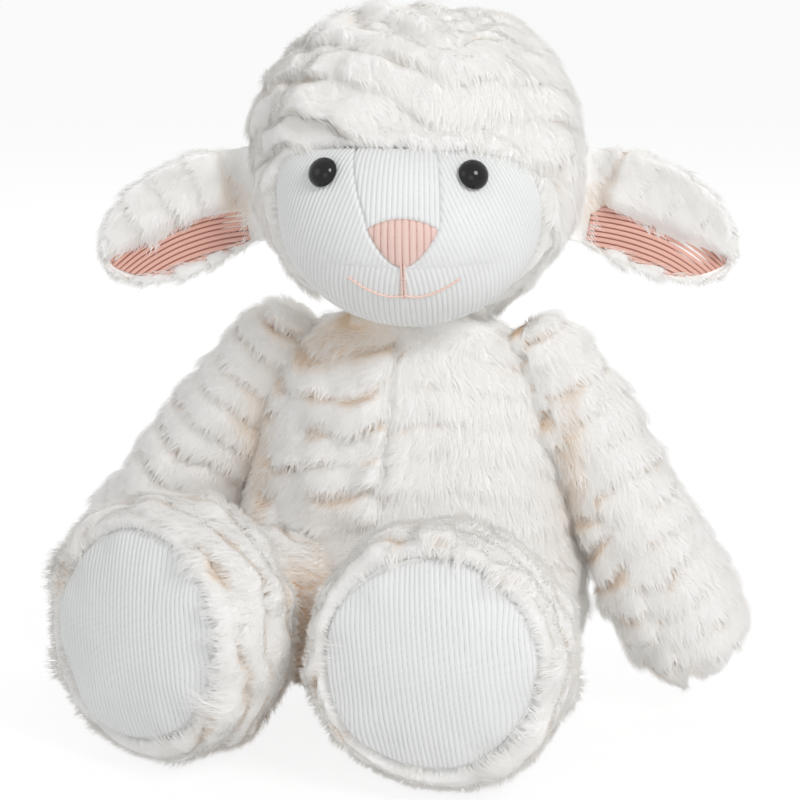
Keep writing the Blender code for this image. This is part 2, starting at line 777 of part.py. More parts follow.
def ear_frame(side):
    """Frame of an ear: origin on its root, +X out along the ear, +Z up its root seam."""
    slope = math.sqrt(1 - (EAR_DROP / (HEAD_HEIGHT / 2)) ** 2)
    seat = Vector((side * HEAD_WIDTH / 2 * slope, 0, -EAR_DROP))
    lean = math.atan2(HEAD_WIDTH / 2 * EAR_DROP / (HEAD_HEIGHT / 2) ** 2, slope)
    turn = Matrix.Rotation(side * lean, 4, "Y")
    flip = Matrix.Scale(-1, 4, Vector((1, 0, 0))) if side < 0 else Matrix.Identity(4)
    return HEAD_MATRIX @ Matrix.Translation(seat) @ turn @ flip


def ear_point(along, across, proud):
    """Point of the cupped ear in its own frame: shares of its length and half height."""
    half = EAR_HALF_HEIGHT * max(1 - along ** EAR_TIP_POWER, 0) ** EAR_TIP_ROUNDING
    half = max(half * (EAR_ROOT_SHARE + EAR_SPREAD_SHARE * along), EAR_FUR)
    opening = EAR_CUP_START_SHARE + (1 - EAR_CUP_START_SHARE) * min(along / EAR_CUP_FULL_SHARE, 1)
    fold = EAR_CUP * opening * (across * across) * (half / EAR_HALF_HEIGHT)
    return Vector((EAR_LENGTH * along, -fold - proud, half * across - EAR_SAG * along * along))


def ear_leaf(name, side, start, share, proud, colour, thickness, forward, columns, rows):
    bm = bmesh.new()
    bmesh.ops.create_grid(bm, x_segments=columns, y_segments=rows, size=1)
    frame = ear_frame(side)
    for vert in bm.verts:
        along = start + (EAR_TIP_SHARE * share ** EAR_CUP_FULL_SHARE - start) * (vert.co.x + 1) / 2
        vert.co = ear_point(along, vert.co.y * share, proud)
    leaf = object_from(bm, name, SHEEP)
    leaf.data.transform(frame)
    if side < 0:
        leaf.data.flip_normals()
    wall(leaf, thickness, outward=forward)
    return finish(leaf, colour)


def build_ear(side, hood):
    name = "left" if side > 0 else "right"
    ear_leaf(f"ear_{name}_cover", side, 0, 1, 0, FUR, EAR_FUR, False, *EAR_GRID)
    ear_leaf(
        f"ear_{name}_lining",
        side,
        EAR_LINING_START_SHARE,
        EAR_LINING_SHARE,
        CLEARANCE,
        PINK_CORDUROY,
        CORDUROY,
        True,
        *LINING_GRID,
    )
    frame = ear_frame(side)
    reach = EAR_HALF_HEIGHT + OVERRUN
    groove = rod_cutter(
        f"ear_groove_{name}",
        frame @ Vector((0, EAR_FUR / 2, -reach)),
        frame @ Vector((0, EAR_FUR / 2, reach)),
        EAR_GROOVE,
    )
    cut(hood, groove)


def build_head():
    hood = ball("head_cover", SHEEP, lambda point: head_place(point, 1), HEAD_ACROSS, HEAD_RINGS)
    hollow = ball("head_hollow", CUTTERS, head_place, 24, 14)
    shrink(as_cutter(hollow), FUR_WALL)
    cut(hood, hollow)
    cut(hood, face_opening())
    dome = sphere_cutter("neck_dome", DOME_CENTRE, NECK_DOME + SOCKET_PLAY)
    cut(hood, dome)
    stuffing = ball("head_stuffing", SHEEP, head_place, across=24, down=14)
    shrink(stuffing, FUR_WALL + CLEARANCE)
    bulge = face_grid(
        "face_filling",
        CUTTERS,
        lambda up: -RIM_SHARE,
        lambda up: RIM_SHARE,
        spread(-RIM_SHARE, RIM_SHARE, FILLING_ROWS),
        FILLING_ROWS,
        -CLEARANCE,
    )
    wall(as_cutter(bulge), FUR_WALL + FACE_BULGE)
    cut(stuffing, bulge, "UNION")
    cut(stuffing, dome)
    cheeks = build_face()
    for side, cheek in cheeks.items():
        cut(cheek, dome)
        frame = eye_frame(side)
        name = "left" if side > 0 else "right"
        deep = -CORDUROY - WASHER_DROP - WASHER_THICKNESS - CLEARANCE
        recess = rod_cutter(
            f"washer_recess_{name}",
            frame @ Vector((0, 0, OVERRUN)),
            frame @ Vector((0, 0, deep)),
            WASHER_DIAMETER / 2 + CLEARANCE,
        )
        cut(stuffing, recess)
        cut(stuffing, bpy.data.objects[f"shank_hole_{name}"])
        build_ear(side, hood)
    finish(hood, FUR)
    finish(stuffing, FIBRE)


def build_limb(name, frame, stations, end_radius, steps=TURN_STEPS):
    """A fur cover, open at its root, round a stuffed core."""
    outer = clip_root(limb_profile(stations, end_radius, 0), ROOT_OPENING)
    inner = clip_root(limb_profile(stations, end_radius, FUR_WALL), ROOT_OPENING)
    outline = on_axis(inner + outer[::-1])
    cover = turned(f"{name}_cover", SHEEP, outline, frame, steps)
    core = on_axis(limb_profile(stations, end_radius, FUR_WALL + CLEARANCE))
    stuffing = turned(f"{name}_stuffing", SHEEP, core[::-1], frame, steps)
    return finish(cover, FUR), finish(stuffing, FIBRE)


def build_arms():
    for side, name in ((1, "arm_left"), (-1, "arm_right")):
        build_limb(name, arm_matrix(side), ARM_STATIONS, HAND_RADIUS)


def leg_line(inset):
    """Outer line of a leg from its hip pole to the drum of its foot, shrunk by the inset."""
    foot_start = LEG_LENGTH - FOOT_THICKNESS
    waist = HIP_RADIUS - SHANK_WAIST_RADIUS
    rise = FOOT_RADIUS - SHANK_WAIST_RADIUS
    points = arc(0, 0, HIP_RADIUS - inset, -90, 0, HIP_RINGS)
    for along, narrowing in SHANK_ROW_SHARES:
        points.append((HIP_RADIUS - waist * narrowing - inset, foot_start * along))
    for growth, along, lag in FOOT_ROW_SHARES:
        height = foot_start + FOOT_THICKNESS * along + inset * lag
        points.append((SHANK_WAIST_RADIUS + rise * growth - inset, height))
    return points


def build_leg(side, splay, name):
    frame = leg_matrix(side, splay)
    sole = SOLE_DIAMETER / 2
    edge = FOOT_RADIUS - sole
    rim = [
        (FOOT_RADIUS - edge * RIM_EDGE_SHARE, LEG_LENGTH - FOOT_THICKNESS * RIM_ROW_SHARE),
        (sole + CLEARANCE, LEG_LENGTH),
        (sole + CLEARANCE, LEG_LENGTH - FUR_WALL),
    ]
    inner = clip_root(leg_line(FUR_WALL), ROOT_OPENING)
    inner.append((FOOT_RADIUS - FUR_WALL, LEG_LENGTH - FUR_WALL))
    outline = clip_root(leg_line(0), ROOT_OPENING) + rim + inner[::-1]
    cover = turned(f"{name}_cover", SHEEP, outline[::-1], frame, LEG_STEPS)
    cut(cover, FLOOR)
    back = LEG_LENGTH - CORDUROY - CLEARANCE
    core = leg_line(FUR_WALL + CLEARANCE)
    core += [
        (FOOT_RADIUS - FUR_WALL - CLEARANCE, LEG_LENGTH - FUR_WALL - CLEARANCE),
        (sole - CLEARANCE, LEG_LENGTH - FUR_WALL - CLEARANCE),
    ]
    core += sole_line(sole - CLEARANCE, back)
    stuffing = turned(f"{name}_stuffing", SHEEP, on_axis(core)[::-1], frame, LEG_STEPS)
    front = sole_line(sole, LEG_LENGTH)[::-1]
    rear = sole_line(sole, LEG_LENGTH - CORDUROY)
    pad = turned(name.replace("leg", "sole"), SHEEP, on_axis(front + rear), frame, LEG_STEPS)
    finish(cover, FUR)
    finish(stuffing, FIBRE)
    finish(pad, WHITE_CORDUROY)


def sole_line(radius, height):
    """Domed line of a sole, from its edge to the axis."""
    points = []
    for share in SOLE_ROW_SHARES:
        points.append((radius * share, height + SOLE_DOME * (1 - share * share)))
    return points


def build_tail():
    outline = on_axis(limb_profile(TAIL_STATIONS, TAIL_STATIONS[-1][1], 0))
    finish(turned("tail", SHEEP, outline[::-1], tail_matrix(), TAIL_STEPS), FUR)


build_torso()
build_head()
build_arms()
build_leg(1, LEG_LEFT_SPLAY, "leg_left")
build_leg(-1, LEG_RIGHT_SPLAY, "leg_right")
build_tail()
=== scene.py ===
import math

import bpy
import numpy as np
from mathutils import Matrix, Vector, noise


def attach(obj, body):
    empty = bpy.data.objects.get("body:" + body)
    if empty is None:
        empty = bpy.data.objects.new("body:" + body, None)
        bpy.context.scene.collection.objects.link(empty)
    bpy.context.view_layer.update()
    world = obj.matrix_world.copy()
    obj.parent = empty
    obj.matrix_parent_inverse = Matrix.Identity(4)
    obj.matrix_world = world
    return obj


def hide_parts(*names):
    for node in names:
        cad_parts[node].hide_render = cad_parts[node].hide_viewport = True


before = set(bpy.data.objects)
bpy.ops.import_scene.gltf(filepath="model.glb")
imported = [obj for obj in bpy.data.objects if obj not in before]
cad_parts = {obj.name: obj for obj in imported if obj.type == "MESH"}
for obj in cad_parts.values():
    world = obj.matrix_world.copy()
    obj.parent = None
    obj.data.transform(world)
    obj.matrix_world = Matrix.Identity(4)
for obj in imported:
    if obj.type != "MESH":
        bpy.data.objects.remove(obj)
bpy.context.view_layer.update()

# Floor, backdrop, lamps and camera.
# A wide pale floor under soft lamps; it and the backdrop show white to the camera, and the floor
# still takes the toy's shadow.
floor_half = 9


def in_scene(name, data):
    item = bpy.data.objects.new(name, data)
    bpy.context.scene.collection.objects.link(item)
    return item


def meshed(name, points, faces, edges=()):
    """A smooth-shaded object of its own from points, edges and faces."""
    mesh = bpy.data.meshes.new(name)
    mesh.from_pydata(points, edges, faces)
    for face in mesh.polygons:
        face.use_smooth = True
    return in_scene(name, mesh)


def adder(tree):
    """A function that adds a node to the tree; inputs take plain values or the sockets that feed them."""

    def add(kind, inputs=(), **settings):
        node = tree.nodes.new(kind)
        for key, value in settings.items():
            setattr(node, key, value)
        for place, value in dict(inputs).items():
            if isinstance(value, bpy.types.NodeSocket):
                tree.links.new(value, node.inputs[place])
            else:
                node.inputs[place].default_value = value
        return node

    return add


def feed(node, **inputs):
    """Sets or links inputs of a node that is there already; _ in a name stands for a space."""
    for place, value in inputs.items():
        socket = node.inputs[place.replace("_", " ")]
        if isinstance(value, bpy.types.NodeSocket):
            node.id_data.links.new(value, socket)
        else:
            socket.default_value = value


def new_finish(name, **shader_inputs):
    """A material with these inputs set on its shader: the material, its shader and its node adder."""
    finish = bpy.data.materials.new(name)
    finish.use_nodes = True
    shader = finish.node_tree.nodes["Principled BSDF"]
    feed(shader, **shader_inputs)
    return finish, shader, adder(finish.node_tree)


def shown_directly(add):
    """1 to camera and glossy rays, 0 to all others."""
    path = add("ShaderNodeLightPath").outputs
    either = add("ShaderNodeMath", {0: path["Is Camera Ray"], 1: path["Is Glossy Ray"]}, operation="MAXIMUM")
    return either.outputs[0]


floor_corners = [(-floor_half, -floor_half, 0), (floor_half, -floor_half, 0)]
floor_corners += [(floor_half, floor_half, 0), (-floor_half, floor_half, 0)]
floor = meshed("floor", floor_corners, [(0, 1, 2, 3)])
paper, shader, add = new_finish("paper", Base_Color=(0.86, 0.86, 0.86, 1), Roughness=0.9)
share = add("ShaderNodeMath", {0: shown_directly(add), 1: 0.82}, operation="MULTIPLY")
glow = add("ShaderNodeEmission", {"Color": (1, 1, 1, 1), "Strength": 1.06})
mix = add("ShaderNodeMixShader", {"Fac": share.outputs[0], 1: shader.outputs[0], 2: glow.outputs[0]})
feed(paper.node_tree.nodes["Material Output"], Surface=mix.outputs[0])
floor.data.materials.append(paper)

world = bpy.data.worlds.new("studio")
world.use_nodes = True
add = adder(world.node_tree)
strength = add("ShaderNodeMapRange", {"Value": shown_directly(add), "To Min": 0.50, "To Max": 1.0})
feed(world.node_tree.nodes["Background"], Color=(1, 1, 1, 1), Strength=strength.outputs[0])
bpy.context.scene.world = world


def lamp(name, place, aim, size, power, colour=(1, 1, 1)):
    light = bpy.data.lights.new(name, "AREA")
    light.shape, light.size, light.energy, light.color = "DISK", size, power, colour
    item = in_scene(name, light)
    item.location = place
    item.rotation_euler = (Vector(aim) - Vector(place)).to_track_quat("-Z", "Y").to_euler()


lamp("window", (0.85, -0.75, 0.95), (0, 0, 0.12), 0.5, 7.9)
lamp("fill", (-1.0, -0.9, 0.7), (0, 0, 0.12), 0.9, 1.7, (0.94, 0.97, 1.0))
lamp("low_front", (0.3, -1.5, 0.3), (0, 0, 0.10), 0.9, 1.7)
lamp("back", (-0.2, 0.9, 0.9), (0, 0, 0.15), 0.8, 5.5)

azimuth, elevation, distance = math.radians(14), math.radians(13.5), 1.2
aim = Vector((0.002, -0.03, 0.128))
level_share = math.cos(elevation)
back = Vector((math.sin(azimuth) * level_share, -math.cos(azimuth) * level_share, math.sin(elevation)))
camera = in_scene("camera", bpy.data.cameras.new("camera"))
camera.data.lens = 136
camera.data.sensor_width = 36
camera.location = aim + back * distance
camera.rotation_euler = (-back).to_track_quat("-Z", "Y").to_euler()
bpy.context.scene.camera = camera
bpy.context.scene.view_settings.view_transform = "Standard"


# Torso cover.
# A pear-shaped bag of long-pile fur, sewn up the front and stuffed firmly. The pile lies in waves
# that run round the body and overhang each other, deeper on the sheep's right than on its left.
torso_height, torso_width, torso_depth = 0.166, 0.150, 0.124
torso_widths = [(-1.0, 1.06), (-0.6, 1.09), (-0.35, 1.04), (-0.04, 0.95), (0.2, 0.90), (0.45, 0.90)]
torso_widths += [(0.75, 0.92), (1.0, 0.60)]
torso_depths = [(-1.0, 1.03), (-0.5, 1.06), (0.0, 1.0), (0.5, 0.86), (1.0, 0.72)]
pile_sunk, wave_pitch = 0.0038, 0.0135
fold_rise, roll_middle, roll_overhang, skin_roughness, full_fold = 0.16, 0.48, 0.55, 0.0009, 0.0030


def smooth(low, high, values):
    step = np.clip((values - low) / (high - low), 0, 1)
    return step * step * (3 - 2 * step)


def eased(table, places):
    """Values of a table of (place, value) rows at many places, eased between the rows."""
    out = np.full(len(places), table[-1][1], float)
    for (low, first), (high, second) in reversed(list(zip(table, table[1:]))):
        out = np.where(places <= high, first + (second - first) * smooth(low, high, places), out)
    return out


def drift(points, size, shift=0.0):
    """Soft noise from -1 to 1 at many points; size is the size of its patches."""
    return np.array([noise.noise(Vector(p) / size + Vector((shift, shift, shift))) for p in points])


def drifts(points, size, shift):
    """Three drifts side by side, to turn the comb of the pile."""
    return np.stack([drift(points, size, shift + k) for k in (1, 2, 3)], 1)


def circle(count):
    return np.linspace(0, 2 * math.pi, count, endpoint=False)


def skin(name, rows):
    """A closed skin over rows of points, each row a ring; the first and last rows close to a point."""
    count, last = len(rows[0]), len(rows) - 2
    points = np.concatenate([rows[0][:1], *rows[1:-1], rows[-1][:1]])
    faces = []
    for base in range(1, 1 + (last - 1) * count, count):
        for step in range(count):
            after = (step + 1) % count
            faces.append((base + step, base + after, base + count + after, base + count + step))
    base = 1 + (last - 1) * count
    for step in range(count):
        after = (step + 1) % count
        faces += [(0, 1 + after, 1 + step), (base + step, base + after, len(points) - 1)]
    return meshed(name, points.tolist(), faces)


def places_of(item, what="co"):
    item.data.update()
    out = np.empty(len(item.data.vertices) * 3)
    item.data.vertices.foreach_get(what, out)
    return out.reshape(-1, 3)


def normals_of(item):
    return places_of(item, "normal")


def set_places(item, points):
    item.data.vertices.foreach_set("co", points.ravel())
    item.data.update()


def keep(item, name, values):
    """Writes a value or a vector for every point of the piece."""
    vector = np.ndim(values) == 2
    layers = item.data.attributes
    layer = layers[name] if name in layers else layers.new(name, "FLOAT_VECTOR" if vector else "FLOAT", "POINT")
    layer.data.foreach_set("vector" if vector else "value", np.asarray(values, np.float32).ravel())


def kept(item, name):
    out = np.empty(len(item.data.vertices))
    item.data.attributes[name].data.foreach_get("value", out)
    return out


def unit(vectors):
    return vectors / np.maximum(np.linalg.norm(vectors, axis=1, keepdims=True), 1e-9)


def along_skin(vectors, normals):
    """The part of each vector that lies along the skin, at length one."""
    return unit(vectors - normals * (vectors * normals).sum(1, keepdims=True))


def ruffle(item, phase, relief, comb, reach=1.0, tuft=0.021, fold_shade=0.6, lap=0.22, even=0.08):
    """Moves the skin into rolls of overhanging tufts; keeps the comb, the pile's reach and the painted warm shade of
    the folds.
    """
    points, normals = places_of(item), normals_of(item)
    step = phase - np.floor(phase)
    own_tufts = drift(points + (np.floor(phase) * 0.237)[:, None], tuft, 0.5)
    relief = relief * (even + (1 - even) * smooth(-0.26, 0.34, own_tufts))
    past = np.clip((step - lap) / (1 - lap), 0, 1)
    rising = np.sin(math.pi / 2 * np.clip(step / lap, 0, 1)) ** 0.8
    height = np.where(step < lap, rising, (1 - past ** 2.2) ** 0.75)
    lean = along_skin(comb, normals)
    over = np.exp(-(((step - lap) / fold_rise) ** 2))
    rough = skin_roughness * drift(points, 0.0085, 21.7)
    points = points + normals * (relief * (height - roll_middle) + rough * (relief > 0))[:, None]
    set_places(item, points + lean * (relief * roll_overhang * over)[:, None])
    keep(item, "comb", along_skin(lean, normals_of(item)))
    keep(item, "reach", (0.75 + 0.4 * over) * reach)
    # fold holds painted warm shade: more the deeper a point lies in its crease, scaled by the share given.
    keep(item, "fold", fold_shade * np.clip((1 - height) * relief / full_fold, 0, 1.2))


def new_tree(name, kind, inputs, outputs):
    """A node tree with named inputs and outputs: the tree, its node adder and the inputs to use inside."""
    tree = bpy.data.node_groups.new(name, kind)
    for label, (sort, value) in inputs.items():
        socket = tree.interface.new_socket(label, in_out="INPUT", socket_type=f"NodeSocket{sort}")
        if value is not None:
            socket.default_value = value
    for label, sort in outputs.items():
        tree.interface.new_socket(label, in_out="OUTPUT", socket_type=f"NodeSocket{sort}")
    add = adder(tree)
    return tree, add, add("NodeGroupInput").outputs


def pile_tree():
    """Geometry nodes: one fine blade of fur, set thousands of times over the skin and combed with it."""
    tree, add, given = new_tree(
        "fur_pile",
        "GeometryNodeTree",
        {
            "Skin": ("Geometry", None),
            "Count per square metre": ("Float", 1.0e6),
            "Length": ("Float", 0.008),
            "Width": ("Float", 0.0004),
            "Lift": ("Float", 0.45),
            "Lock size": ("Float", 0.004),
            "Lock pull": ("Float", 0.6),
            "Stray": ("Float", 0.25),
            "Seed": ("Int", 1),
            "Finish": ("Material", None),
        },
        {"Pile": "Geometry"},
    )

    def maths(operation, *values):
        return add("ShaderNodeMath", dict(enumerate(values)), operation=operation).outputs[0]

    def vectors(operation, *values, **scale):
        inputs = {**dict(enumerate(values)), **scale}
        return add("ShaderNodeVectorMath", inputs, operation=operation).outputs[0]

    def joined(*values):
        return add("ShaderNodeCombineXYZ", dict(enumerate(values))).outputs[0]

    def named(name, kind="FLOAT"):
        return add("GeometryNodeInputNamedAttribute", {"Name": name}, data_type=kind).outputs["Attribute"]

    def store(geometry, name, value, kind="FLOAT", domain="POINT"):
        inputs = {"Geometry": geometry, "Name": name, "Value": value}
        return add("GeometryNodeStoreNamedAttribute", inputs, data_type=kind, domain=domain).outputs["Geometry"]

    def chance(kind, **inputs):
        return add("FunctionNodeRandomValue", inputs, data_type=kind).outputs

    # One blade, one unit long: it rises at the root, bends over and narrows to a point.
    blade = add("GeometryNodeMeshGrid", {"Size X": 1, "Size Y": 1, "Vertices X": 2, "Vertices Y": 3})
    place = add("ShaderNodeSeparateXYZ", {0: add("GeometryNodeInputPosition").outputs[0]}).outputs
    marked = store(blade.outputs["Mesh"], "tip", maths("ADD", place["Y"], 0.5))
    marked = store(marked, "side", maths("MULTIPLY", place["X"], 2.0))
    tip, lift = named("tip"), given["Lift"]
    tip_squared = maths("POWER", tip, 2.0)
    narrow = maths("SUBTRACT", 1.0, maths("POWER", tip, 1.7))
    bend = maths("SUBTRACT", maths("MULTIPLY", tip, 1.5), maths("MULTIPLY", tip_squared, 0.5))
    run = maths("ADD", maths("MULTIPLY", tip, 0.35), maths("MULTIPLY", tip_squared, 0.65))
    flat = maths("SQRT", maths("SUBTRACT", 1.0, maths("MULTIPLY", lift, lift)))
    wide = maths("MULTIPLY", maths("MULTIPLY", named("side"), 0.5), narrow)
    shaped = joined(wide, maths("MULTIPLY", flat, run), maths("MULTIPLY", lift, bend))
    bent = add("GeometryNodeSetPosition", {"Geometry": marked, "Position": shaped})
    pointed = add("GeometryNodeMergeByDistance", {"Geometry": bent.outputs["Geometry"], "Distance": 0.001})

    # Where the blades stand, and how they lean together in locks.
    density = maths("MULTIPLY", given["Count per square metre"], named("grows"))
    spread_inputs = {"Mesh": given["Skin"], "Density": density, "Seed": given["Seed"]}
    spread = add("GeometryNodeDistributePointsOnFaces", spread_inputs, distribute_method="RANDOM").outputs
    where = add("GeometryNodeInputPosition").outputs[0]
    lock_inputs = {"Vector": where, "Scale": maths("DIVIDE", 1.0, given["Lock size"])}
    locks = add("ShaderNodeTexVoronoi", lock_inputs, voronoi_dimensions="3D", feature="F1").outputs
    turned = vectors("SUBTRACT", locks["Color"], (0.5, 0.5, 0.5))
    pull = maths("DIVIDE", given["Lock pull"], given["Length"])
    inward = vectors("SCALE", vectors("SUBTRACT", locks["Position"], where), Scale=pull)
    stray = chance("FLOAT_VECTOR", Min=(-1, -1, -1), Max=(1, 1, 1), Seed=given["Seed"])[0]
    lock_turn = vectors("SCALE", turned, Scale=maths("MULTIPLY", given["Lock pull"], 1.1))
    comb = vectors("ADD", vectors("ADD", named("comb", "FLOAT_VECTOR"), lock_turn), inward)
    comb = vectors("ADD", comb, vectors("SCALE", stray, Scale=given["Stray"]))
    own_length = chance("FLOAT", Min=0.7, Max=1.15, Seed=given["Seed"])[1]
    long = maths("MULTIPLY", maths("MULTIPLY", given["Length"], named("reach")), own_length)
    upright = add("FunctionNodeAlignRotationToVector", {"Vector": spread["Normal"]}, axis="Z")
    combed_inputs = {"Rotation": upright.outputs[0], "Vector": comb}
    combed = add("FunctionNodeAlignRotationToVector", combed_inputs, axis="Y", pivot_axis="Z")
    planted_inputs = {
        "Points": spread["Points"],
        "Instance": pointed.outputs["Geometry"],
        "Rotation": combed.outputs[0],
        "Scale": joined(given["Width"], long, long),
    }
    planted = add("GeometryNodeInstanceOnPoints", planted_inputs)
    tone = chance("FLOAT", Seed=7)[1]
    toned = store(planted.outputs[0], "tone", tone, domain="INSTANCE")
    toned = store(toned, "facing", spread["Normal"], "FLOAT_VECTOR", "INSTANCE")
    real = add("GeometryNodeRealizeInstances", {0: toned})

    # The map that the finish reads, the fold's painted shade and the random tone across and root to tip up, and the
    # soft shading.
    deep = maths("MULTIPLY", maths("POWER", named("fold"), 1.6), 0.62)
    fold_shade_and_tone = maths("ADD", deep, maths("MULTIPLY", named("tone"), 0.12))
    fold_shade_and_tone = maths("MINIMUM", maths("MAXIMUM", maths("ADD", fold_shade_and_tone, 0.05), 0.02), 0.98)
    across = maths("ADD", fold_shade_and_tone, maths("MULTIPLY", named("side"), 0.006))
    up = maths("ADD", maths("MULTIPLY", named("tip"), 0.96), 0.02)
    mapped = store(real.outputs[0], "OFBake", joined(across, up), "FLOAT2", "CORNER")
    rounded = add("GeometryNodeSetShadeSmooth", {0: mapped})
    own = vectors("SCALE", add("GeometryNodeInputNormal").outputs[0], Scale=0.6)
    facing = vectors("NORMALIZE", vectors("ADD", named("facing", "FLOAT_VECTOR"), own))
    soft = add("GeometryNodeSetMeshNormal", mode="FREE", domain="POINT")
    feed(soft, Mesh=rounded.outputs[0], Custom_Normal=facing)
    coated = add("GeometryNodeSetMaterial", {"Geometry": soft.outputs[0], "Material": given["Finish"]})
    add("NodeGroupOutput", {0: coated.outputs[0]})
    return tree


PILE = pile_tree()


def mesh_from(item, tree, wanted):
    """The plain mesh that a geometry tree makes of an object, which goes; the tree's inputs are set by name."""
    nodes = item.modifiers.new("nodes", "NODES")
    nodes.node_group = tree
    for socket in tree.interface.items_tree:
        if socket.in_out == "INPUT" and socket.name in wanted:
            nodes[socket.identifier] = wanted[socket.name]
    bpy.context.view_layer.update()
    made = bpy.data.meshes.new_from_object(item.evaluated_get(bpy.context.evaluated_depsgraph_get()))
    bpy.data.objects.remove(item)
    return made


fur_sizes = {
    "Count per square metre": 1.7e6,
    "Length": 0.0062,
    "Width": 0.0003,
    "Lift": 0.37,
    "Lock size": 0.0038,
    "Lock pull": 0.50,
    "Stray": 0.22,
}
lowest_hair = 0.0004


def grow_pile(name, cover, seed, grows=None):
    """Grows the pile on a copy of a cover's skin and returns it as a plain mesh of its own."""
    grown = in_scene(name, cover.data.copy())
    keep(grown, "grows", np.ones(len(grown.data.vertices)) if grows is None else grows)
    mesh = mesh_from(grown, PILE, {"Finish": FUR, "Seed": seed, **fur_sizes})
    mesh.name = name
    tips = np.empty(len(mesh.vertices) * 3)
    mesh.vertices.foreach_get("co", tips)
    tips[2::3] = np.maximum(tips[2::3], lowest_hair)
    mesh.vertices.foreach_set("co", tips)
    for extra in ("tip", "side", "tone", "fold", "comb", "reach", "grows", "facing"):
        if extra in mesh.attributes:
            mesh.attributes.remove(mesh.attributes[extra])
    return in_scene(name, mesh)


def ramp(add, value, *stops):
    """The colour of a ramp with two stops of (place, colour)."""
    node = add("ShaderNodeValToRGB", {0: value})
    for element, (place, colour) in zip(node.color_ramp.elements, stops):
        element.position = place
        element.color = (*colour, 1)
    return node.outputs[0]


def mixed(add, share, first, second):
    return add("ShaderNodeMix", {"Factor": share, 6: first, 7: second}, data_type="RGBA").outputs[2]


def ranged(add, value, settings=(), **limits):
    """A value through a Map Range node; From_Min stands for the input From Min."""
    node = add("ShaderNodeMapRange", {"Value": value}, **dict(settings))
    feed(node, **limits)
    return node.outputs[0]


def grain(add, scale, **more):
    """Noise over the object's own coordinates."""
    where = add("ShaderNodeTexCoord").outputs["Object"]
    return add("ShaderNodeTexNoise", {"Vector": where, "Scale": scale, **more}).outputs["Fac"]


def bumped(add, height, depth, **more):
    return add("ShaderNodeBump", {"Height": height, "Distance": depth, **more}).outputs[0]


def fur_finish():
    """The pile: cream tips over roots that take a warmer painted shade in the folds; the map holds fold and tip."""
    finish, shader, add = new_finish(
        "fur_pile", Roughness=0.75, Specular_IOR_Level=0.2, Sheen_Weight=0.25, Sheen_Roughness=0.5
    )
    place = add("ShaderNodeSeparateXYZ", {0: add("ShaderNodeUVMap", uv_map="OFBake").outputs[0]}).outputs
    # Both ramps run from cream to a painted warm shade as the fold share grows, the roots further than the tips.
    root = ramp(add, place["X"], (0.0, (0.962, 0.962, 0.958)), (0.85, (0.90, 0.78, 0.66)))
    tips = ramp(add, place["X"], (0.0, (0.968, 0.970, 0.966)), (0.95, (0.94, 0.89, 0.82)))
    along = ranged(add, place["Y"], From_Min=0.05, From_Max=0.7)
    feed(shader, Base_Color=mixed(add, along, root, tips))
    return finish


def backing_finish():
    """The knitted backing under the pile: pale, with a warm painted shade down in the folds, stronger in random
    patches.
    """
    finish, shader, add = new_finish("fur_backing", Roughness=0.95, Specular_IOR_Level=0.1)
    patches = grain(add, 260, Detail=4)
    depth = add("ShaderNodeAttribute", attribute_name="fold").outputs["Fac"]
    # Painted shade: the fold share plus random patches runs the backing from pale to warm brown.
    tone_and_fold_shade = add("ShaderNodeMath", {0: patches, 1: 0.4, 2: depth}, operation="MULTIPLY_ADD").outputs[0]
    colour = ramp(add, tone_and_fold_shade, (0.45, (0.955, 0.953, 0.945)), (1.0, (0.84, 0.68, 0.52)))
    feed(shader, Base_Color=colour, Normal=bumped(add, patches, 0.0008))
    return finish


FUR = fur_finish()
BACKING = backing_finish()


def wander(turn, rows):
    """How far the waves wander up and down round the body: rows of (count, shift, weight)."""
    return 0.0042 * sum(weight * np.sin(count * turn + shift) for count, shift, weight in rows)


def torso_rows(around, along):
    """Rings of the pear from the flat seat up to the neck, a little inside the solid's outside."""
    rows, turn = [], circle(around)
    for step in np.linspace(-math.pi / 2, math.pi / 2, along):
        level = math.sin(step)
        reach = math.cos(step) ** (2 / (4.0 if level < 0 else 2.7)) if abs(level) < 1 else 0.0
        height = max((level + 1) / 2 - 0.03, 0) / 0.97 * torso_height
        wide = torso_width / 2 * eased(torso_widths, np.array([level]))[0] - pile_sunk
        deep = torso_depth / 2 * eased(torso_depths, np.array([level]))[0] - pile_sunk
        tall = min(height, torso_height - pile_sunk)
        rows.append(np.stack([wide * reach * np.cos(turn), deep * reach * np.sin(turn), np.full(around, tall)], 1))
    return rows


def nooks(item):
    """Paints more warm shade into the pile where the toy's parts meet: legs, chin, arms and the roots of the ears."""
    points, fold_shade = places_of(item), kept(item, "fold")
    for middle, reach, most in (
        ((-0.032, -0.072, 0.024), (0.034, 0.040, 0.034), 1.0),
        ((-0.030, -0.035, 0.153), (0.024, 0.030, 0.016), 0.7),
        ((0.004, -0.045, 0.157), (0.060, 0.030, 0.010), 0.4),
        ((0.069, -0.034, 0.100), (0.007, 0.030, 0.042), 0.8),
        ((-0.026, -0.070, 0.056), (0.030, 0.030, 0.013), 0.6),
        ((-0.069, -0.018, 0.200), (0.008, 0.020, 0.014), 0.6),
        ((0.072, 0.016, 0.200), (0.008, 0.020, 0.014), 0.6),
        ((-0.060, -0.032, 0.092), (0.010, 0.030, 0.040), 0.8),
    ):
        fold_shade += most * np.exp(-(((points - middle) / reach) ** 2).sum(1))
    keep(item, "fold", np.clip(fold_shade, 0, 1.2))


def fur_cover(node, body, fill, cover, *piles):
    """A cover's skin stands for its solid and moves with its piles."""
    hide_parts(node)
    for piece in (cover, *piles):
        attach(piece, body)


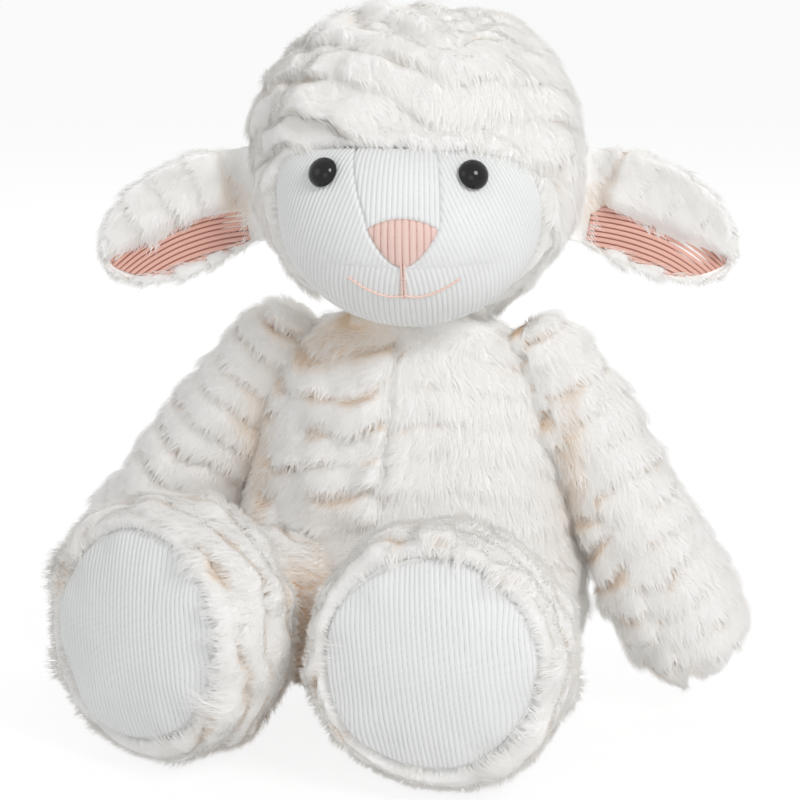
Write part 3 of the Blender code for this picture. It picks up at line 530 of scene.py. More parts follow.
torso = skin("torso_fur", torso_rows(290, 190))
points = places_of(torso)
x, y, z = points.T
turn = np.arctan2(y / torso_depth, x / torso_width)
front = y < 0
right_half = smooth(-0.002, 0.004, x) * front
warp = wander(turn, [(2, 0.6, 1.0), (3, 2.0, 0.7)]) + 0.0040 * drift(points, 0.026, 3.1)
warp = warp + 0.0028 * drift(points, 0.010, 9.7)
phase = (z + warp) / wave_pitch + 0.42 * (x > 0.0005) * front
patches = smooth(-0.30, 0.22, drift(points, 0.026, 5.5)) * (1 - right_half)
patches = patches + smooth(-0.02, 0.35, drift(points, 0.020, 6.5)) * right_half
calm = smooth(0.0, 0.012, z) * (1 - 0.6 * smooth(0.140, 0.158, z))
relief = 0.0068 * calm * (0.6 + 0.6 * patches) * (1 - 0.62 * right_half)
down = np.stack([-0.45 * front * (1 - right_half), np.zeros(len(points)), -np.ones(len(points))], 1)
down += 0.9 * np.stack([drift(points, 0.024, 1.0), drift(points, 0.024, 2.0), 0.3 * drift(points, 0.02, 8.0)], 1)
seam_dip = np.exp(-((x - 0.0005) / 0.0022) ** 2) * front * smooth(0.02, 0.04, z)
seen_share = smooth(0.002, 0.016, z) * (1 - smooth(0.150, 0.156, z))
set_places(torso, points - normals_of(torso) * (0.0022 * seam_dip)[:, None])
# Painted warm shade in the folds: strongest on the front, a little less on its +x half, least on the back.
ruffle(torso, phase, relief, down, fold_shade=0.30 + front * (0.55 - 0.15 * right_half))
nooks(torso)
torso.data.materials.append(BACKING)
front_pile = grow_pile("torso_pile_front", torso, 11, seen_share * front)
back_pile = grow_pile("torso_pile_back", torso, 12, 0.75 * seen_share * ~front)
fur_cover("torso_cover", "torso", 0.8, torso, front_pile, back_pile)


# Arms.
# Straight tubes of the same fur, closed at the hand and sewn to the body at the shoulder; the waves
# of the pile run across them and the pile is combed towards the hand.
shoulder_side, shoulder_rise, shoulder_radius = 0.05595, 0.140, 0.0205
arm_length, arm_middle, hand_radius = 0.116, 0.0220, 0.0265
arm_angles = {1: math.radians(28.5), -1: math.radians(33)}
# The middle table sets how much painted warm shade each arm's folds take.
arm_reliefs, arm_fold_shades, arm_evens = {1: 0.0046, -1: 0.0082}, {1: 0.6, -1: 0.42}, {1: 0.1, -1: 0.45}


def limb_rows(outline, around, spacing):
    """Rings round +Z through an outline of (radius, height), stepped evenly along the line."""
    line = np.array(outline, float)
    steps = np.concatenate([[0], np.cumsum(np.linalg.norm(np.diff(line, axis=0), axis=1))])
    places = np.linspace(0, steps[-1], int(steps[-1] / spacing) + 2)
    radii, heights = np.interp(places, steps, line[:, 0]), np.interp(places, steps, line[:, 1])
    turn = circle(around)
    return [np.stack([r * np.cos(turn), r * np.sin(turn), np.full(around, h)], 1) for r, h in zip(radii, heights)]


def cap(radius, height, start, end, count=9):
    """Points of a quarter of a ball on the axis, for the end of an outline."""
    turns = np.radians(np.linspace(start, end, count))
    return [(max(radius * math.cos(t), 0.0), height + radius * math.sin(t)) for t in turns]


def placed(item, matrix):
    item.data.transform(matrix)
    item.data.update()


def seat(item, matrix, comb):
    """Moves a cover and its comb from their own frame to their place and lines it with the backing."""
    keep(item, "comb", along_skin(comb, normals_of(item)) @ np.array(matrix.to_3x3()).T)
    placed(item, matrix)
    item.data.materials.append(BACKING)


def arm_place(side):
    turn = Matrix.Rotation(side * (math.pi - arm_angles[side]), 4, "Y")
    return Matrix.Translation((side * shoulder_side, 0, shoulder_rise)) @ turn


for side, name in ((1, "arm_left"), (-1, "arm_right")):
    sunk = 0.0008
    wrist = (arm_middle + hand_radius) / 2
    outline = cap(shoulder_radius - 0.0044, 0, -90, -10)
    outline += [(shoulder_radius - sunk, arm_length * 0.22), (arm_middle - sunk, arm_length * 0.55)]
    outline += [(wrist - sunk, arm_length * 0.75), (hand_radius * 0.98 - sunk, arm_length * 0.9)]
    outline += cap(hand_radius - 0.0026, arm_length, 0, 90, 12)
    arm = skin(f"{name}_fur", limb_rows(outline, 96, 0.0015))
    points = places_of(arm)
    shift = 2.0 + side
    points[:, 0] += 0.0018 * drift(points, 0.05, shift) - 0.0022 * side
    set_places(arm, points)
    warp = 0.0050 * drift(points, 0.030, shift + 3) + 0.0030 * drift(points, 0.012, shift + 6)
    warp += 0.10 * np.abs(points[:, 0] + 0.004 * side)
    outward = unit(points * (1, 1, 0) + 1e-9)
    band = smooth(0.55, 0.90, outward @ np.array((0.80 * side, -0.60, 0.0)))
    phase = -(points[:, 2] + warp) / wave_pitch + 0.45 * (band > 0.5) * (side > 0)
    patches = smooth(-0.30, 0.25, drift(points, 0.024, shift + 8))
    relief = arm_reliefs[side] * (0.55 + 0.65 * patches) + 0.0060 * band * (side > 0)
    comb = np.tile((0.0, 0.0, 1.0), (len(points), 1)) + 0.3 * drifts(points, 0.03, shift)
    ruffle(arm, phase, relief, comb, fold_shade=arm_fold_shades[side], even=arm_evens[side])
    # The ruffled band on the +x arm takes more painted warm shade in its folds.
    keep(arm, "fold", kept(arm, "fold") * (1 + 1.4 * band * (side > 0)))
    seat(arm, arm_place(side), comb)
    nooks(arm)
    fur_cover(f"{name}_cover", name, 0.7, arm, grow_pile(f"{name}_pile", arm, 21 + side))


# Legs and feet.
# Short fur legs that end in a broad foot. The fur stops in a ruffled edge round the sole.
hip_side, hip_forward, hip_rise, hip_radius, waist_radius = 0.042, 0.051, 0.048149, 0.033, 0.029
foot_radius, leg_length, foot_thickness, leg_tilt = 0.0525, 0.084, 0.045, math.radians(4)
sole_radius, sole_dome = 0.0405, 0.006
leg_splay = {"leg_left": math.radians(-2), "leg_right": math.radians(-25)}
lowest_skin = 0.0008


def leg_place(name):
    side = 1 if name == "leg_left" else -1
    turn = Matrix.Rotation(leg_splay[name], 4, "Z") @ Matrix.Rotation(math.pi / 2 - leg_tilt, 4, "X")
    return Matrix.Translation((side * hip_side, -hip_forward, hip_rise)) @ turn


for side, name in ((1, "leg_left"), (-1, "leg_right")):
    sunk = 0.0042
    start = leg_length - foot_thickness
    rise = foot_radius - waist_radius
    outline = cap(hip_radius - sunk, 0, -90, 0)
    outline += [(waist_radius - sunk, start * 0.62), (waist_radius + rise * 0.12 - sunk, start * 0.86)]
    outline += [(waist_radius + rise * 0.55 - sunk, start)]
    outline += [(waist_radius + rise * 0.88 - sunk, start + foot_thickness * 0.14)]
    outline += [(foot_radius - sunk, start + foot_thickness * share) for share in (0.36, 0.7)]
    outline += [(foot_radius - sunk - 0.0015, leg_length - 0.004), (sole_radius + 0.004, leg_length - 0.0005)]
    outline += [(sole_radius + 0.001, leg_length - 0.002), (sole_radius - 0.002, leg_length - 0.006)]
    outline += [(0.0, leg_length - 0.007)]
    leg = skin(f"{name}_fur", limb_rows(outline, 150, 0.0015))
    points = places_of(leg)
    x, y, z = points.T
    radius = np.hypot(x, y)
    shift = 5.0 + side
    under = (z > leg_length - 0.010) & (radius < sole_radius + 0.001)
    warp = 0.0100 * drift(points, 0.030, shift + 3) + 0.0040 * drift(points, 0.012, shift + 6)
    phase = -(z + warp - leg_length) / wave_pitch + 0.12 - side * np.arctan2(y, x) / math.pi
    patches = smooth(-0.30, 0.25, drift(points, 0.024, shift + 8))
    relief = 0.0060 * (0.45 + 0.7 * patches) * np.where(under, 0.0, 1.0)
    relief *= 1 - 0.5 * smooth(leg_length - 0.006, leg_length, z)
    comb = np.tile((0.0, 0.0, 1.0), (len(points), 1)) + 0.35 * drifts(points, 0.03, shift)
    edge = smooth(leg_length - 0.010, leg_length - 0.001, z)[:, None]
    outward = points * (1, 1, 0) / np.maximum(radius, 1e-6)[:, None]
    comb = comb * (1 - edge) + outward * -0.9 * edge + comb * 0.3 * edge
    comb += 0.5 * edge * drifts(points, 0.008, shift + 10)
    hang = smooth(-0.05, 0.35, drift(outward, 0.30, shift + 2)) * edge[:, 0]
    # The legs' folds take the default share of painted warm shade.
    ruffle(leg, phase, relief, comb, reach=1 + 0.9 * hang, tuft=0.017)
    seat(leg, leg_place(name), comb)
    points = places_of(leg)
    points[:, 2] = np.maximum(points[:, 2], lowest_skin)
    set_places(leg, points)
    nooks(leg)
    toward = smooth(0.040, -0.010, points[:, 1] + 0.06)
    grows = np.where(under, 0.0, 1.0) * (0.25 + 0.75 * smooth(0.003, 0.010, points[:, 2])) * (0.55 + 0.45 * toward)
    fur_cover(f"{name}_cover", name, 0.75, leg, grow_pile(f"{name}_pile", leg, 31 + side, grows))


# Head cover.
# A ball of fur with the face let into its front. The pile is combed down and forward and makes a
# fringe over the top of the face.
head_width, head_depth, head_height = 0.140, 0.128, 0.132
head_place = Matrix.Translation((0.002, 0, 0.2175)) @ Matrix.Rotation(math.radians(14), 4, "Z")
face_yaw, face_half_longitude = math.radians(-4.5), math.radians(52)
face_top, face_low = math.radians(15), math.radians(-58)
face_middle, face_half_latitude = (face_top + face_low) / 2, (face_top - face_low) / 2
face_lean, face_lean_start = math.radians(3.5), 0.4


def face_corner(up):
    """How far the corners of the face are cut: less at the brow than at the chin."""
    return 0.44 - 0.22 * smooth(0.0, 0.6, up)


def face_tilt(up):
    """How far the upper face leans to one side, as an angle."""
    return face_lean * np.clip((up - face_lean_start) / (1 - face_lean_start), 0, 1)


def face_shares(points):
    """Where points in the head's frame lie on the face: across and up, each 1 at its edge."""
    flat = unit(points / (np.array([head_width, head_depth, head_height]) / 2))
    longitude = np.arctan2(flat[:, 0], -flat[:, 1]) - face_yaw
    longitude = (longitude + math.pi) % (2 * math.pi) - math.pi
    across = first_across = longitude / face_half_longitude
    up = first_up = (np.arcsin(np.clip(flat[:, 2], -1, 1)) - face_middle) / face_half_latitude
    for _ in range(12):
        across = first_across + face_tilt(up) / face_half_longitude
        across = across / np.sqrt(1 - face_corner(up) * np.clip(up * up, 0, 1))
        up = first_up / np.sqrt(1 - face_corner(up) * np.clip(across * across, 0, 1))
    return across, up


rows = []
sunk = 0.0042
turn = circle(300)
for step in np.linspace(-math.pi / 2, math.pi / 2, 230):
    broad = 1 + 0.085 * math.exp(-(((math.degrees(step) - 48) / 24) ** 2))
    wide, deep = ((side / 2 - sunk) * math.cos(step) * broad for side in (head_width, head_depth))
    tall = (head_height / 2 - sunk) * math.sin(step) * (1 + 0.35 * (broad - 1))
    rows.append(np.stack([wide * np.cos(turn), deep * np.sin(turn), np.full(300, tall)], 1))
hood = skin("head_fur", rows)
points = places_of(hood)
x, y, z = points.T
across, up = face_shares(points)
rim = (np.abs(across) ** 5 + np.abs(up) ** 5) ** 0.2
sink = 1 - smooth(0.92, 1.01, rim)
roll = np.exp(-(((rim - 1.08) / 0.09) ** 2))
puffs = (0.0030 * drift(points, 0.030, 12.3) + 0.0016 * drift(points, 0.012, 14.1)) * (1 - sink)
set_places(hood, points + normals_of(hood) * (0.0028 * roll - 0.0080 * sink + puffs)[:, None])
warp = wander(np.arctan2(y / head_depth, x / head_width), [(2, 1.1, 1.0), (3, 0.4, 0.7)])
warp = warp * np.clip(np.hypot(x / head_width, y / head_depth) * 2, 0, 1)
warp += 0.0110 * drift(points, 0.034, 1.7) + 0.0045 * drift(points, 0.013, 4.4)
across_waves = 0.50 * x - 0.65 * np.maximum(x - 0.012, 0)
phase = (z * 0.9 + across_waves + y * 0.5 + warp) / 0.0180
beside = np.clip((np.abs(x) / head_width * 2 - 0.45) * 2, 0, 1)
calm = 1 - beside * (1 - np.minimum((y / head_depth * 2 / 0.32) ** 2, 1))
patches = smooth(-0.30, 0.25, drift(points, 0.028, 8.5))
shaded_side = smooth(0.030, -0.040, x)
relief = 0.0078 * (0.45 + 0.7 * patches) * (1 - sink) * (0.3 + 0.7 * calm) * (0.55 + 0.45 * shaded_side)
comb = np.tile((0.45, -0.45, -0.8), (len(points), 1)) + 0.9 * drifts(points, 0.030, 1.5)
to_face = np.array((math.sin(face_yaw), -math.cos(face_yaw), -0.35)) * 0.060 - points
near_rim = np.exp(-(((rim - 1.02) / 0.06) ** 2))[:, None]
comb = comb * (1 - near_rim) + unit(to_face) * near_rim + 0.5 * near_rim * drifts(points, 0.008, 5.5)
# The hood's folds take a light share of painted warm shade.
ruffle(hood, phase, relief, comb, reach=1 + 0.5 * near_rim[:, 0], tuft=0.020, fold_shade=0.3, lap=0.28)
seat(hood, head_place, comb)
bare_share = 1 - smooth(0.93, 0.98, rim)
front = y < 0.004
front_pile = grow_pile("head_pile_front", hood, 41, (1 - bare_share) * front)
back_pile = grow_pile("head_pile_back", hood, 42, 0.8 * (1 - bare_share) * ~front)
fur_cover("head_cover", "head", 0.85, hood, front_pile, back_pile)

# Face.
# White corduroy in three panels, a bridge and two cheeks, sewn together and to a pink nose, and
# stretched over the stuffing. The ribs run down the bridge and the chin and slant on the cheeks.
fur_wall, corduroy_proud, face_bulge, face_round = 0.007, 0.0019, 0.020, 0.080
face_half_width, face_half_height = 0.0726, 0.0510
rib_pitch, rib_relief, rib_step, grid_step = 0.0020, 0.00045, 0.00034, 0.00055
bridge_share, nose_width_share, nose_top, nose_low, nose_side = 0.29, 0.65, 0.335, 0.04, 0.55
nose_arch, nose_puff, nose_rib_pitch = 0.085, 0.0012, 0.0026
eye_shares = (0.445, 0.74)


def face_places(across, up, proud):
    """Points of the face in world space, from shares of its half width and half height."""
    cut = face_corner(up)
    longitude = face_yaw - face_tilt(up) + face_half_longitude * across * np.sqrt(1 - cut * up * up)
    latitude = face_middle + face_half_latitude * up * np.sqrt(1 - cut * across * across)
    full = np.clip(1 - across * across, 0, 1) ** 0.6 * np.clip(1 - up * up, 0, 1) ** 0.5
    reach = proud + face_bulge * full - fur_wall
    level = np.cos(latitude)
    toward = np.stack([np.sin(longitude) * level, -np.cos(longitude) * level, np.sin(latitude)], -1)
    local = toward * (np.array([head_width, head_depth, head_height]) / 2 + reach[..., None])
    return local @ np.array(head_place.to_3x3()).T + np.array(head_place.translation), longitude, latitude


def corduroy_group():
    """Colours for ribbed cloth: the groove, whose darker colour is painted shade, the rib, and the fine yarn that
    crosses both.
    """
    group, add, given = new_tree(
        "corduroy_ribs",
        "ShaderNodeTree",
        {
            "Rib": ("Float", 1.0),
            "Rib colour": ("Color", (0.8, 0.8, 0.8, 1)),
            "Groove colour": ("Color", (0.5, 0.5, 0.5, 1)),
            "Yarn scale": ("Float", 1500.0),
        },
        {"Colour": "Color", "Height": "Float"},
    )
    yarn, wear = grain(add, given["Yarn scale"], Detail=3), grain(add, 45)
    open_rib = ranged(add, given["Rib"], {"interpolation_type": "SMOOTHSTEP"}, From_Min=0.05, From_Max=0.75)
    shaded = mixed(add, open_rib, given["Groove colour"], given["Rib colour"])
    both = add("ShaderNodeMath", {0: yarn, 1: 0.20, 2: wear}, operation="MULTIPLY_ADD").outputs[0]
    light = ranged(add, both, From_Min=0.3, From_Max=0.9, To_Min=0.94, To_Max=1.0)
    toned = add("ShaderNodeVectorMath", {0: shaded, "Scale": light}, operation="SCALE").outputs[0]
    add("NodeGroupOutput", {"Colour": toned, "Height": yarn})
    return group


CORDUROY = corduroy_group()


def corduroy_finish(name, rib_colour, groove_shade):
    finish, shader, add = new_finish(
        name, Roughness=0.85, Specular_IOR_Level=0.2, Sheen_Weight=0.15, Sheen_Roughness=0.5
    )
    ribs = add("ShaderNodeGroup", node_tree=CORDUROY)
    rib = add("ShaderNodeAttribute", attribute_name="rib").outputs["Fac"]
    feed(ribs, Rib=rib, Rib_colour=(*rib_colour, 1), Groove_colour=(*groove_shade, 1))
    bump = bumped(add, ribs.outputs["Height"], 0.0002, Strength=0.6)
    feed(shader, Base_Color=ribs.outputs["Colour"], Normal=bump)
    return finish


def ribbed(across_ribs, pitch=rib_pitch):
    """Height of the ribs, 0 in the groove and 1 on the rib, at distances across them."""
    return np.abs(np.sin(math.pi * across_ribs / pitch)) ** 0.6


def cloth(name, base, rib, dip, finish, turn_in=0.0012):
    """A corduroy panel over a grid of points: ribs and seams stand on it, and its edge turns in."""
    high, wide = base.shape[:2]
    facing = np.cross(np.gradient(base, axis=1), np.gradient(base, axis=0))
    facing /= np.maximum(np.linalg.norm(facing, axis=2, keepdims=True), 1e-12)
    top = base + facing * (rib_relief * (rib - 1) - dip)[..., None]
    place = np.arange(high * wide).reshape(high, wide)
    edge = np.concatenate([place[0, :], place[1:, -1], place[-1, -2::-1], place[-2:0:-1, 0]])
    inner = top.reshape(-1, 3)[edge] - facing.reshape(-1, 3)[edge] * turn_in
    quads = np.stack([place[:-1, :-1], place[:-1, 1:], place[1:, 1:], place[1:, :-1]], -1).reshape(-1, 4)
    below = high * wide + np.arange(len(edge))
    hem = np.stack([np.roll(edge, -1), edge, below, np.roll(below, -1)], -1)
    points = np.concatenate([top.reshape(-1, 3), inner])
    item = meshed(name, points.tolist(), np.concatenate([quads, hem]).tolist())
    keep(item, "rib", np.concatenate([rib.ravel(), rib.ravel()[edge]]))
    item.data.materials.append(finish)
    return item


# Each groove colour is the rib colour darkened by painted shade.
WHITE_CORDUROY = corduroy_finish("white_corduroy", (0.85, 0.86, 0.855), (0.66, 0.67, 0.68))
PINK_CORDUROY = corduroy_finish("pink_corduroy", (0.85, 0.63, 0.57), (0.56, 0.29, 0.24))


def middle_seam(up):
    """Half width of the middle strip: the bridge above, the nose below it, then one middle seam."""
    spread = nose_width_share + (1 - nose_width_share) * np.clip((up - nose_top) / (1 - nose_top), 0, 1)
    fall = np.clip((up - nose_low) / (nose_top - nose_low), 0, 1)
    return np.where(up >= nose_top, bridge_share * spread, bridge_share * nose_width_share * fall ** nose_side)


def face_panel(name, side, low, high, slant, finish):
    """One panel between its seams; side is 0 for the middle strip, 1 and -1 for the cheeks."""
    count_up = max(int((high - low) * face_half_height / grid_step), 20)
    half_wide = middle_seam(np.linspace(low, high, 50)).max()
    count_across = max(int((2 * half_wide if side == 0 else 1.0) * face_half_width / rib_step), 30)
    share, level = np.meshgrid(np.linspace(0, 1, count_across), np.linspace(0, 1, count_up))
    arch = nose_arch * (1 - (2 * share - 1) ** 2) if side == 0 else 0.0
    bottom = low + (arch if low > nose_low + 0.01 else 0.0)
    top = high + (arch if high < 0.9 else 0.0)
    rise = bottom + (top - bottom) * level if side == 0 else low + (high - low) * level
    seam = middle_seam(rise)
    if side == 0:
        across = seam * (2 * share - 1)
    else:
        seam = seam - 0.0025
        across = seam + (0.985 - seam) * share if side > 0 else -0.985 + (0.985 - seam) * share
    base, longitude, latitude = face_places(across, rise, np.full(across.shape, corduroy_proud))
    sideways = face_round * np.cos(latitude) * (longitude - face_yaw)
    upright = face_round * (latitude - face_middle)
    above = np.logaddexp(0, (upright + 0.002) / 0.006) * 0.006
    rib = ribbed(sideways + slant * above, nose_rib_pitch if finish == PINK_CORDUROY else rib_pitch)
    inner = np.abs(np.abs(across) - middle_seam(rise)) * face_half_width
    near = inner if side else np.minimum(inner, (rise - bottom) * face_half_height)
    if side == 0 and high < 0.9:
        near = np.minimum(near, (top - rise) * face_half_height)
    deep = np.where(rise < nose_low, 0.0, 1.0)
    dip = 0.0006 * deep * np.exp(-((near / 0.0009) ** 2))
    # Next to the seams the ribs sink and take more of the groove's painted shade.
    rib = np.where(deep > 0, rib * (1 - 0.5 * np.exp(-((near / 0.0006) ** 2))), rib)
    if finish == PINK_CORDUROY:
        dip = dip - nose_puff * np.sin(math.pi * share) * np.sin(math.pi * np.clip(level, 0, 1)) ** 0.7
    if side:
        beside, above = across - side * eye_shares[0], rise - eye_shares[1]
        apart = np.hypot(beside * face_half_width, above * face_half_height)
        dip = dip + 0.0007 * np.exp(-((apart / 0.0075) ** 2))
    return cloth(name, base, rib, dip, finish)


for name, node, side, low, high, slant, finish in (
    ("face_bridge_cloth", "face_bridge_panel", 0, nose_top - 0.002, 0.985, 0.0, WHITE_CORDUROY),
    ("face_cheek_left_cloth", "face_cheek_left", 1, -0.985, 0.985, 0.42, WHITE_CORDUROY),
    ("face_cheek_right_cloth", "face_cheek_right", -1, -0.985, 0.985, -0.34, WHITE_CORDUROY),
    ("nose_cloth", "nose_panel", 0, nose_low, nose_top + 0.002, 0.0, PINK_CORDUROY),
):
    panel = face_panel(name, side, low, high, slant, finish)
    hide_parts(node)
    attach(panel, "head")


# Mouth.
# A smile and a double upright stitch in pink embroidery thread, worked through the corduroy.
mouth_half, mouth_low, mouth_rise, mouth_dip = 0.30, -0.22, 0.14, 0.012
thread_radius, stitch_length, stem_side = 0.00052, 0.0021, 0.0085


def stitch_tree():
    """Geometry nodes: one plump stitch of thread, set end to end along a path."""
    tree, add, given = new_tree(
        "thread_stitches",
        "GeometryNodeTree",
        {
            "Path": ("Geometry", None),
            "Stitch length": ("Float", 0.002),
            "Thread radius": ("Float", 0.0005),
            "Finish": ("Material", None),
        },
        {"Stitches": "Geometry"},
    )
    length, radius = given["Stitch length"], given["Thread radius"]
    line = add("GeometryNodeMeshToCurve", {"Mesh": given["Path"]})
    places = add("GeometryNodeCurveToPoints", {"Curve": line.outputs[0], "Length": length}, mode="LENGTH")
    bead = add("GeometryNodeMeshUVSphere", {"Segments": 8, "Rings": 7, "Radius": 1.0})
    half = add("ShaderNodeMath", {0: length, 1: 0.64}, operation="MULTIPLY").outputs[0]
    laid_inputs = {
        "Points": places.outputs["Points"],
        "Instance": bead.outputs["Mesh"],
        "Rotation": places.outputs["Rotation"],
        "Scale": add("ShaderNodeCombineXYZ", {0: radius, 1: radius, 2: half}).outputs[0],
    }
    real = add("GeometryNodeRealizeInstances", {0: add("GeometryNodeInstanceOnPoints", laid_inputs).outputs[0]})
    soft = add("GeometryNodeSetShadeSmooth", {0: real.outputs[0]})
    coated = add("GeometryNodeSetMaterial", {"Geometry": soft.outputs[0], "Material": given["Finish"]})
    add("NodeGroupOutput", {0: coated.outputs[0]})
    return tree


thread, shader, add = new_finish("pink_thread", Roughness=0.5, Sheen_Weight=0.2)
feed(shader, Base_Color=ramp(add, grain(add, 3200), (0.0, (0.80, 0.54, 0.46)), (1.0, (0.90, 0.70, 0.63))))
share = np.linspace(-1, 1, 49)
rise = mouth_low - mouth_dip + (mouth_rise + mouth_dip) * np.abs(share) ** 2.3
rise = rise + 0.024 * np.exp(-((share / 0.16) ** 2))
proud = corduroy_proud + thread_radius * 0.5
smile = face_places(share * mouth_half, rise, np.full(49, proud))[0]
stem_up = np.linspace(nose_low + 0.01, mouth_low, 12)
stems = [face_places(np.full(12, side * stem_side), stem_up, np.full(12, proud))[0] for side in (-1, 1)]
points, edges = [], []
for path in (smile, *stems):
    edges += [(len(points) + step, len(points) + step + 1) for step in range(len(path) - 1)]
    points += [tuple(point) for point in path]
wanted = {"Stitch length": stitch_length, "Thread radius": thread_radius, "Finish": thread}
mouth = in_scene("mouth_thread", mesh_from(meshed("mouth_path", points, [], edges), stitch_tree(), wanted))
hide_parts("mouth_stitching")
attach(mouth, "head")


# Eyes.
# Polished black safety eyes: a domed head on a ribbed shank that a washer locks behind the cloth.
eye_radius, eye_height, eye_edge, shank_radius, shank_length = 0.006, 0.0052, 0.0004, 0.0018, 0.011
barb_start, barb_pitch, barb_height = -0.0085, 0.0016, 0.0006


def eye_place(side):
    """Frame of an eye: origin on the front of the face, +Z outwards."""
    across, up = side * eye_shares[0], eye_shares[1]
    step = 0.01
    here, beside, above = (
        face_places(np.array([a]), np.array([u]), np.array([0.0003]))[0][0]
        for a, u in ((across, up), (across + step, up), (across, up + step))
    )
    out = Vector(np.cross(beside - here, above - here)).normalized()
    turn = Vector((0, 0, 1)).rotation_difference(out).to_matrix().to_4x4()
    return Matrix.Translation(Vector(here) + out * 0.0016) @ turn


eye_black, shader, add = new_finish("eye_black", Base_Color=(0.006, 0.006, 0.007, 1), IOR=1.38)
feed(shader, Roughness=ranged(add, grain(add, 900), To_Min=0.05, To_Max=0.16))
for side, name in ((1, "left"), (-1, "right")):
    outline = [(0.0, -shank_length), (shank_radius * 0.8, -shank_length), (shank_radius, -shank_length + barb_height)]
    for ring in range(4):
        barb = barb_start + ring * barb_pitch
        outline += [(shank_radius, barb), (shank_radius * 0.84, barb + barb_height)]
    outline += [(shank_radius, 0.0), (eye_radius * 0.93, 0.0), (eye_radius, 0.0005)]
    for turn in np.linspace(0.06, math.pi / 2, 22):
        radius = eye_radius * math.cos(turn) if turn < 1.57 else 0.0
        outline.append((radius, eye_edge + (eye_height - eye_edge) * math.sin(turn)))
    eye = skin(f"eye_{name}_dome", limb_rows(outline, 44, 0.0004))
    placed(eye, eye_place(side))
    eye.data.materials.append(eye_black)
    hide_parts(f"eye_{name}")
    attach(eye, "head")


# Ears.
# Drooping leaves of fur, lined in front with pink corduroy whose ribs run out along the ear. The
# fur rolls forward over the upper half of the lining and edges it below.
ear_length, ear_half, ear_cup, ear_drop, ear_sag = 0.062, 0.022, 0.010, 0.012, 0.013
ear_back, ear_roll, ear_rim, ear_front = 0.0052, 0.0058, 0.0020, 0.0006
lining_low, lining_high, lining_start, lining_end = -0.93, 0.05, 0.03, 0.955
# The lining's finish is the pink corduroy with painted shade: darker ribs and much darker grooves.
PINK_CORDUROY_SHADED = corduroy_finish("pink_corduroy_shaded", (0.81, 0.48, 0.40), (0.26, 0.08, 0.06))


def ear_place(side):
    """Frame of an ear: origin on its root, +X out along the ear, +Z up its root seam."""
    slope = math.sqrt(1 - (ear_drop / (head_height / 2)) ** 2)
    lean = math.atan2(head_width / 2 * ear_drop / (head_height / 2) ** 2, slope)
    root = Matrix.Translation((side * head_width / 2 * slope, 0, -ear_drop))
    flip = Matrix.Scale(-1, 4, Vector((1, 0, 0))) if side < 0 else Matrix.Identity(4)
    return head_place @ root @ Matrix.Rotation(side * lean, 4, "Y") @ flip


def ear_shape(along):
    """Half height of the ear, its cup and its droop at shares of its length."""
    inside = np.clip(along, 0, 1)
    half = ear_half * np.clip(1 - inside ** 2.4, 0, 1) ** 0.62 * (0.86 + 0.5 * inside)
    cup = ear_cup * (0.2 + 0.8 * np.clip(inside / 0.4, 0, 1)) * half / ear_half
    return np.maximum(half, 0.0008), cup, -ear_sag * along * np.abs(along)


def ear_rows(around):
    upward, outward = np.sin(circle(around)), np.cos(circle(around))
    rows, tip = [], 0.9 + 0.1 * np.sin(np.linspace(0.08, math.pi / 2, 14))
    for along in np.concatenate([np.linspace(-0.10, 0.9, 62), tip]):
        half, cup, droop = (float(v) for v in ear_shape(np.array(along)))
        roll = smooth(-0.30, 0.10, upward) * smooth(0.04, 0.16, np.array(along)) * ear_roll
        front = ear_front + roll + smooth(-0.86, -0.97, upward) * ear_rim
        thick = np.where(outward > 0, ear_back * np.abs(outward) ** 0.7, -front * np.abs(outward) ** 0.5)
        deep = -cup * upward ** 2 + thick * min(1.0, half / 0.006)
        rows.append(np.stack([np.full(around, along * ear_length), deep, upward * half * 1.02 + droop], 1))
    return rows


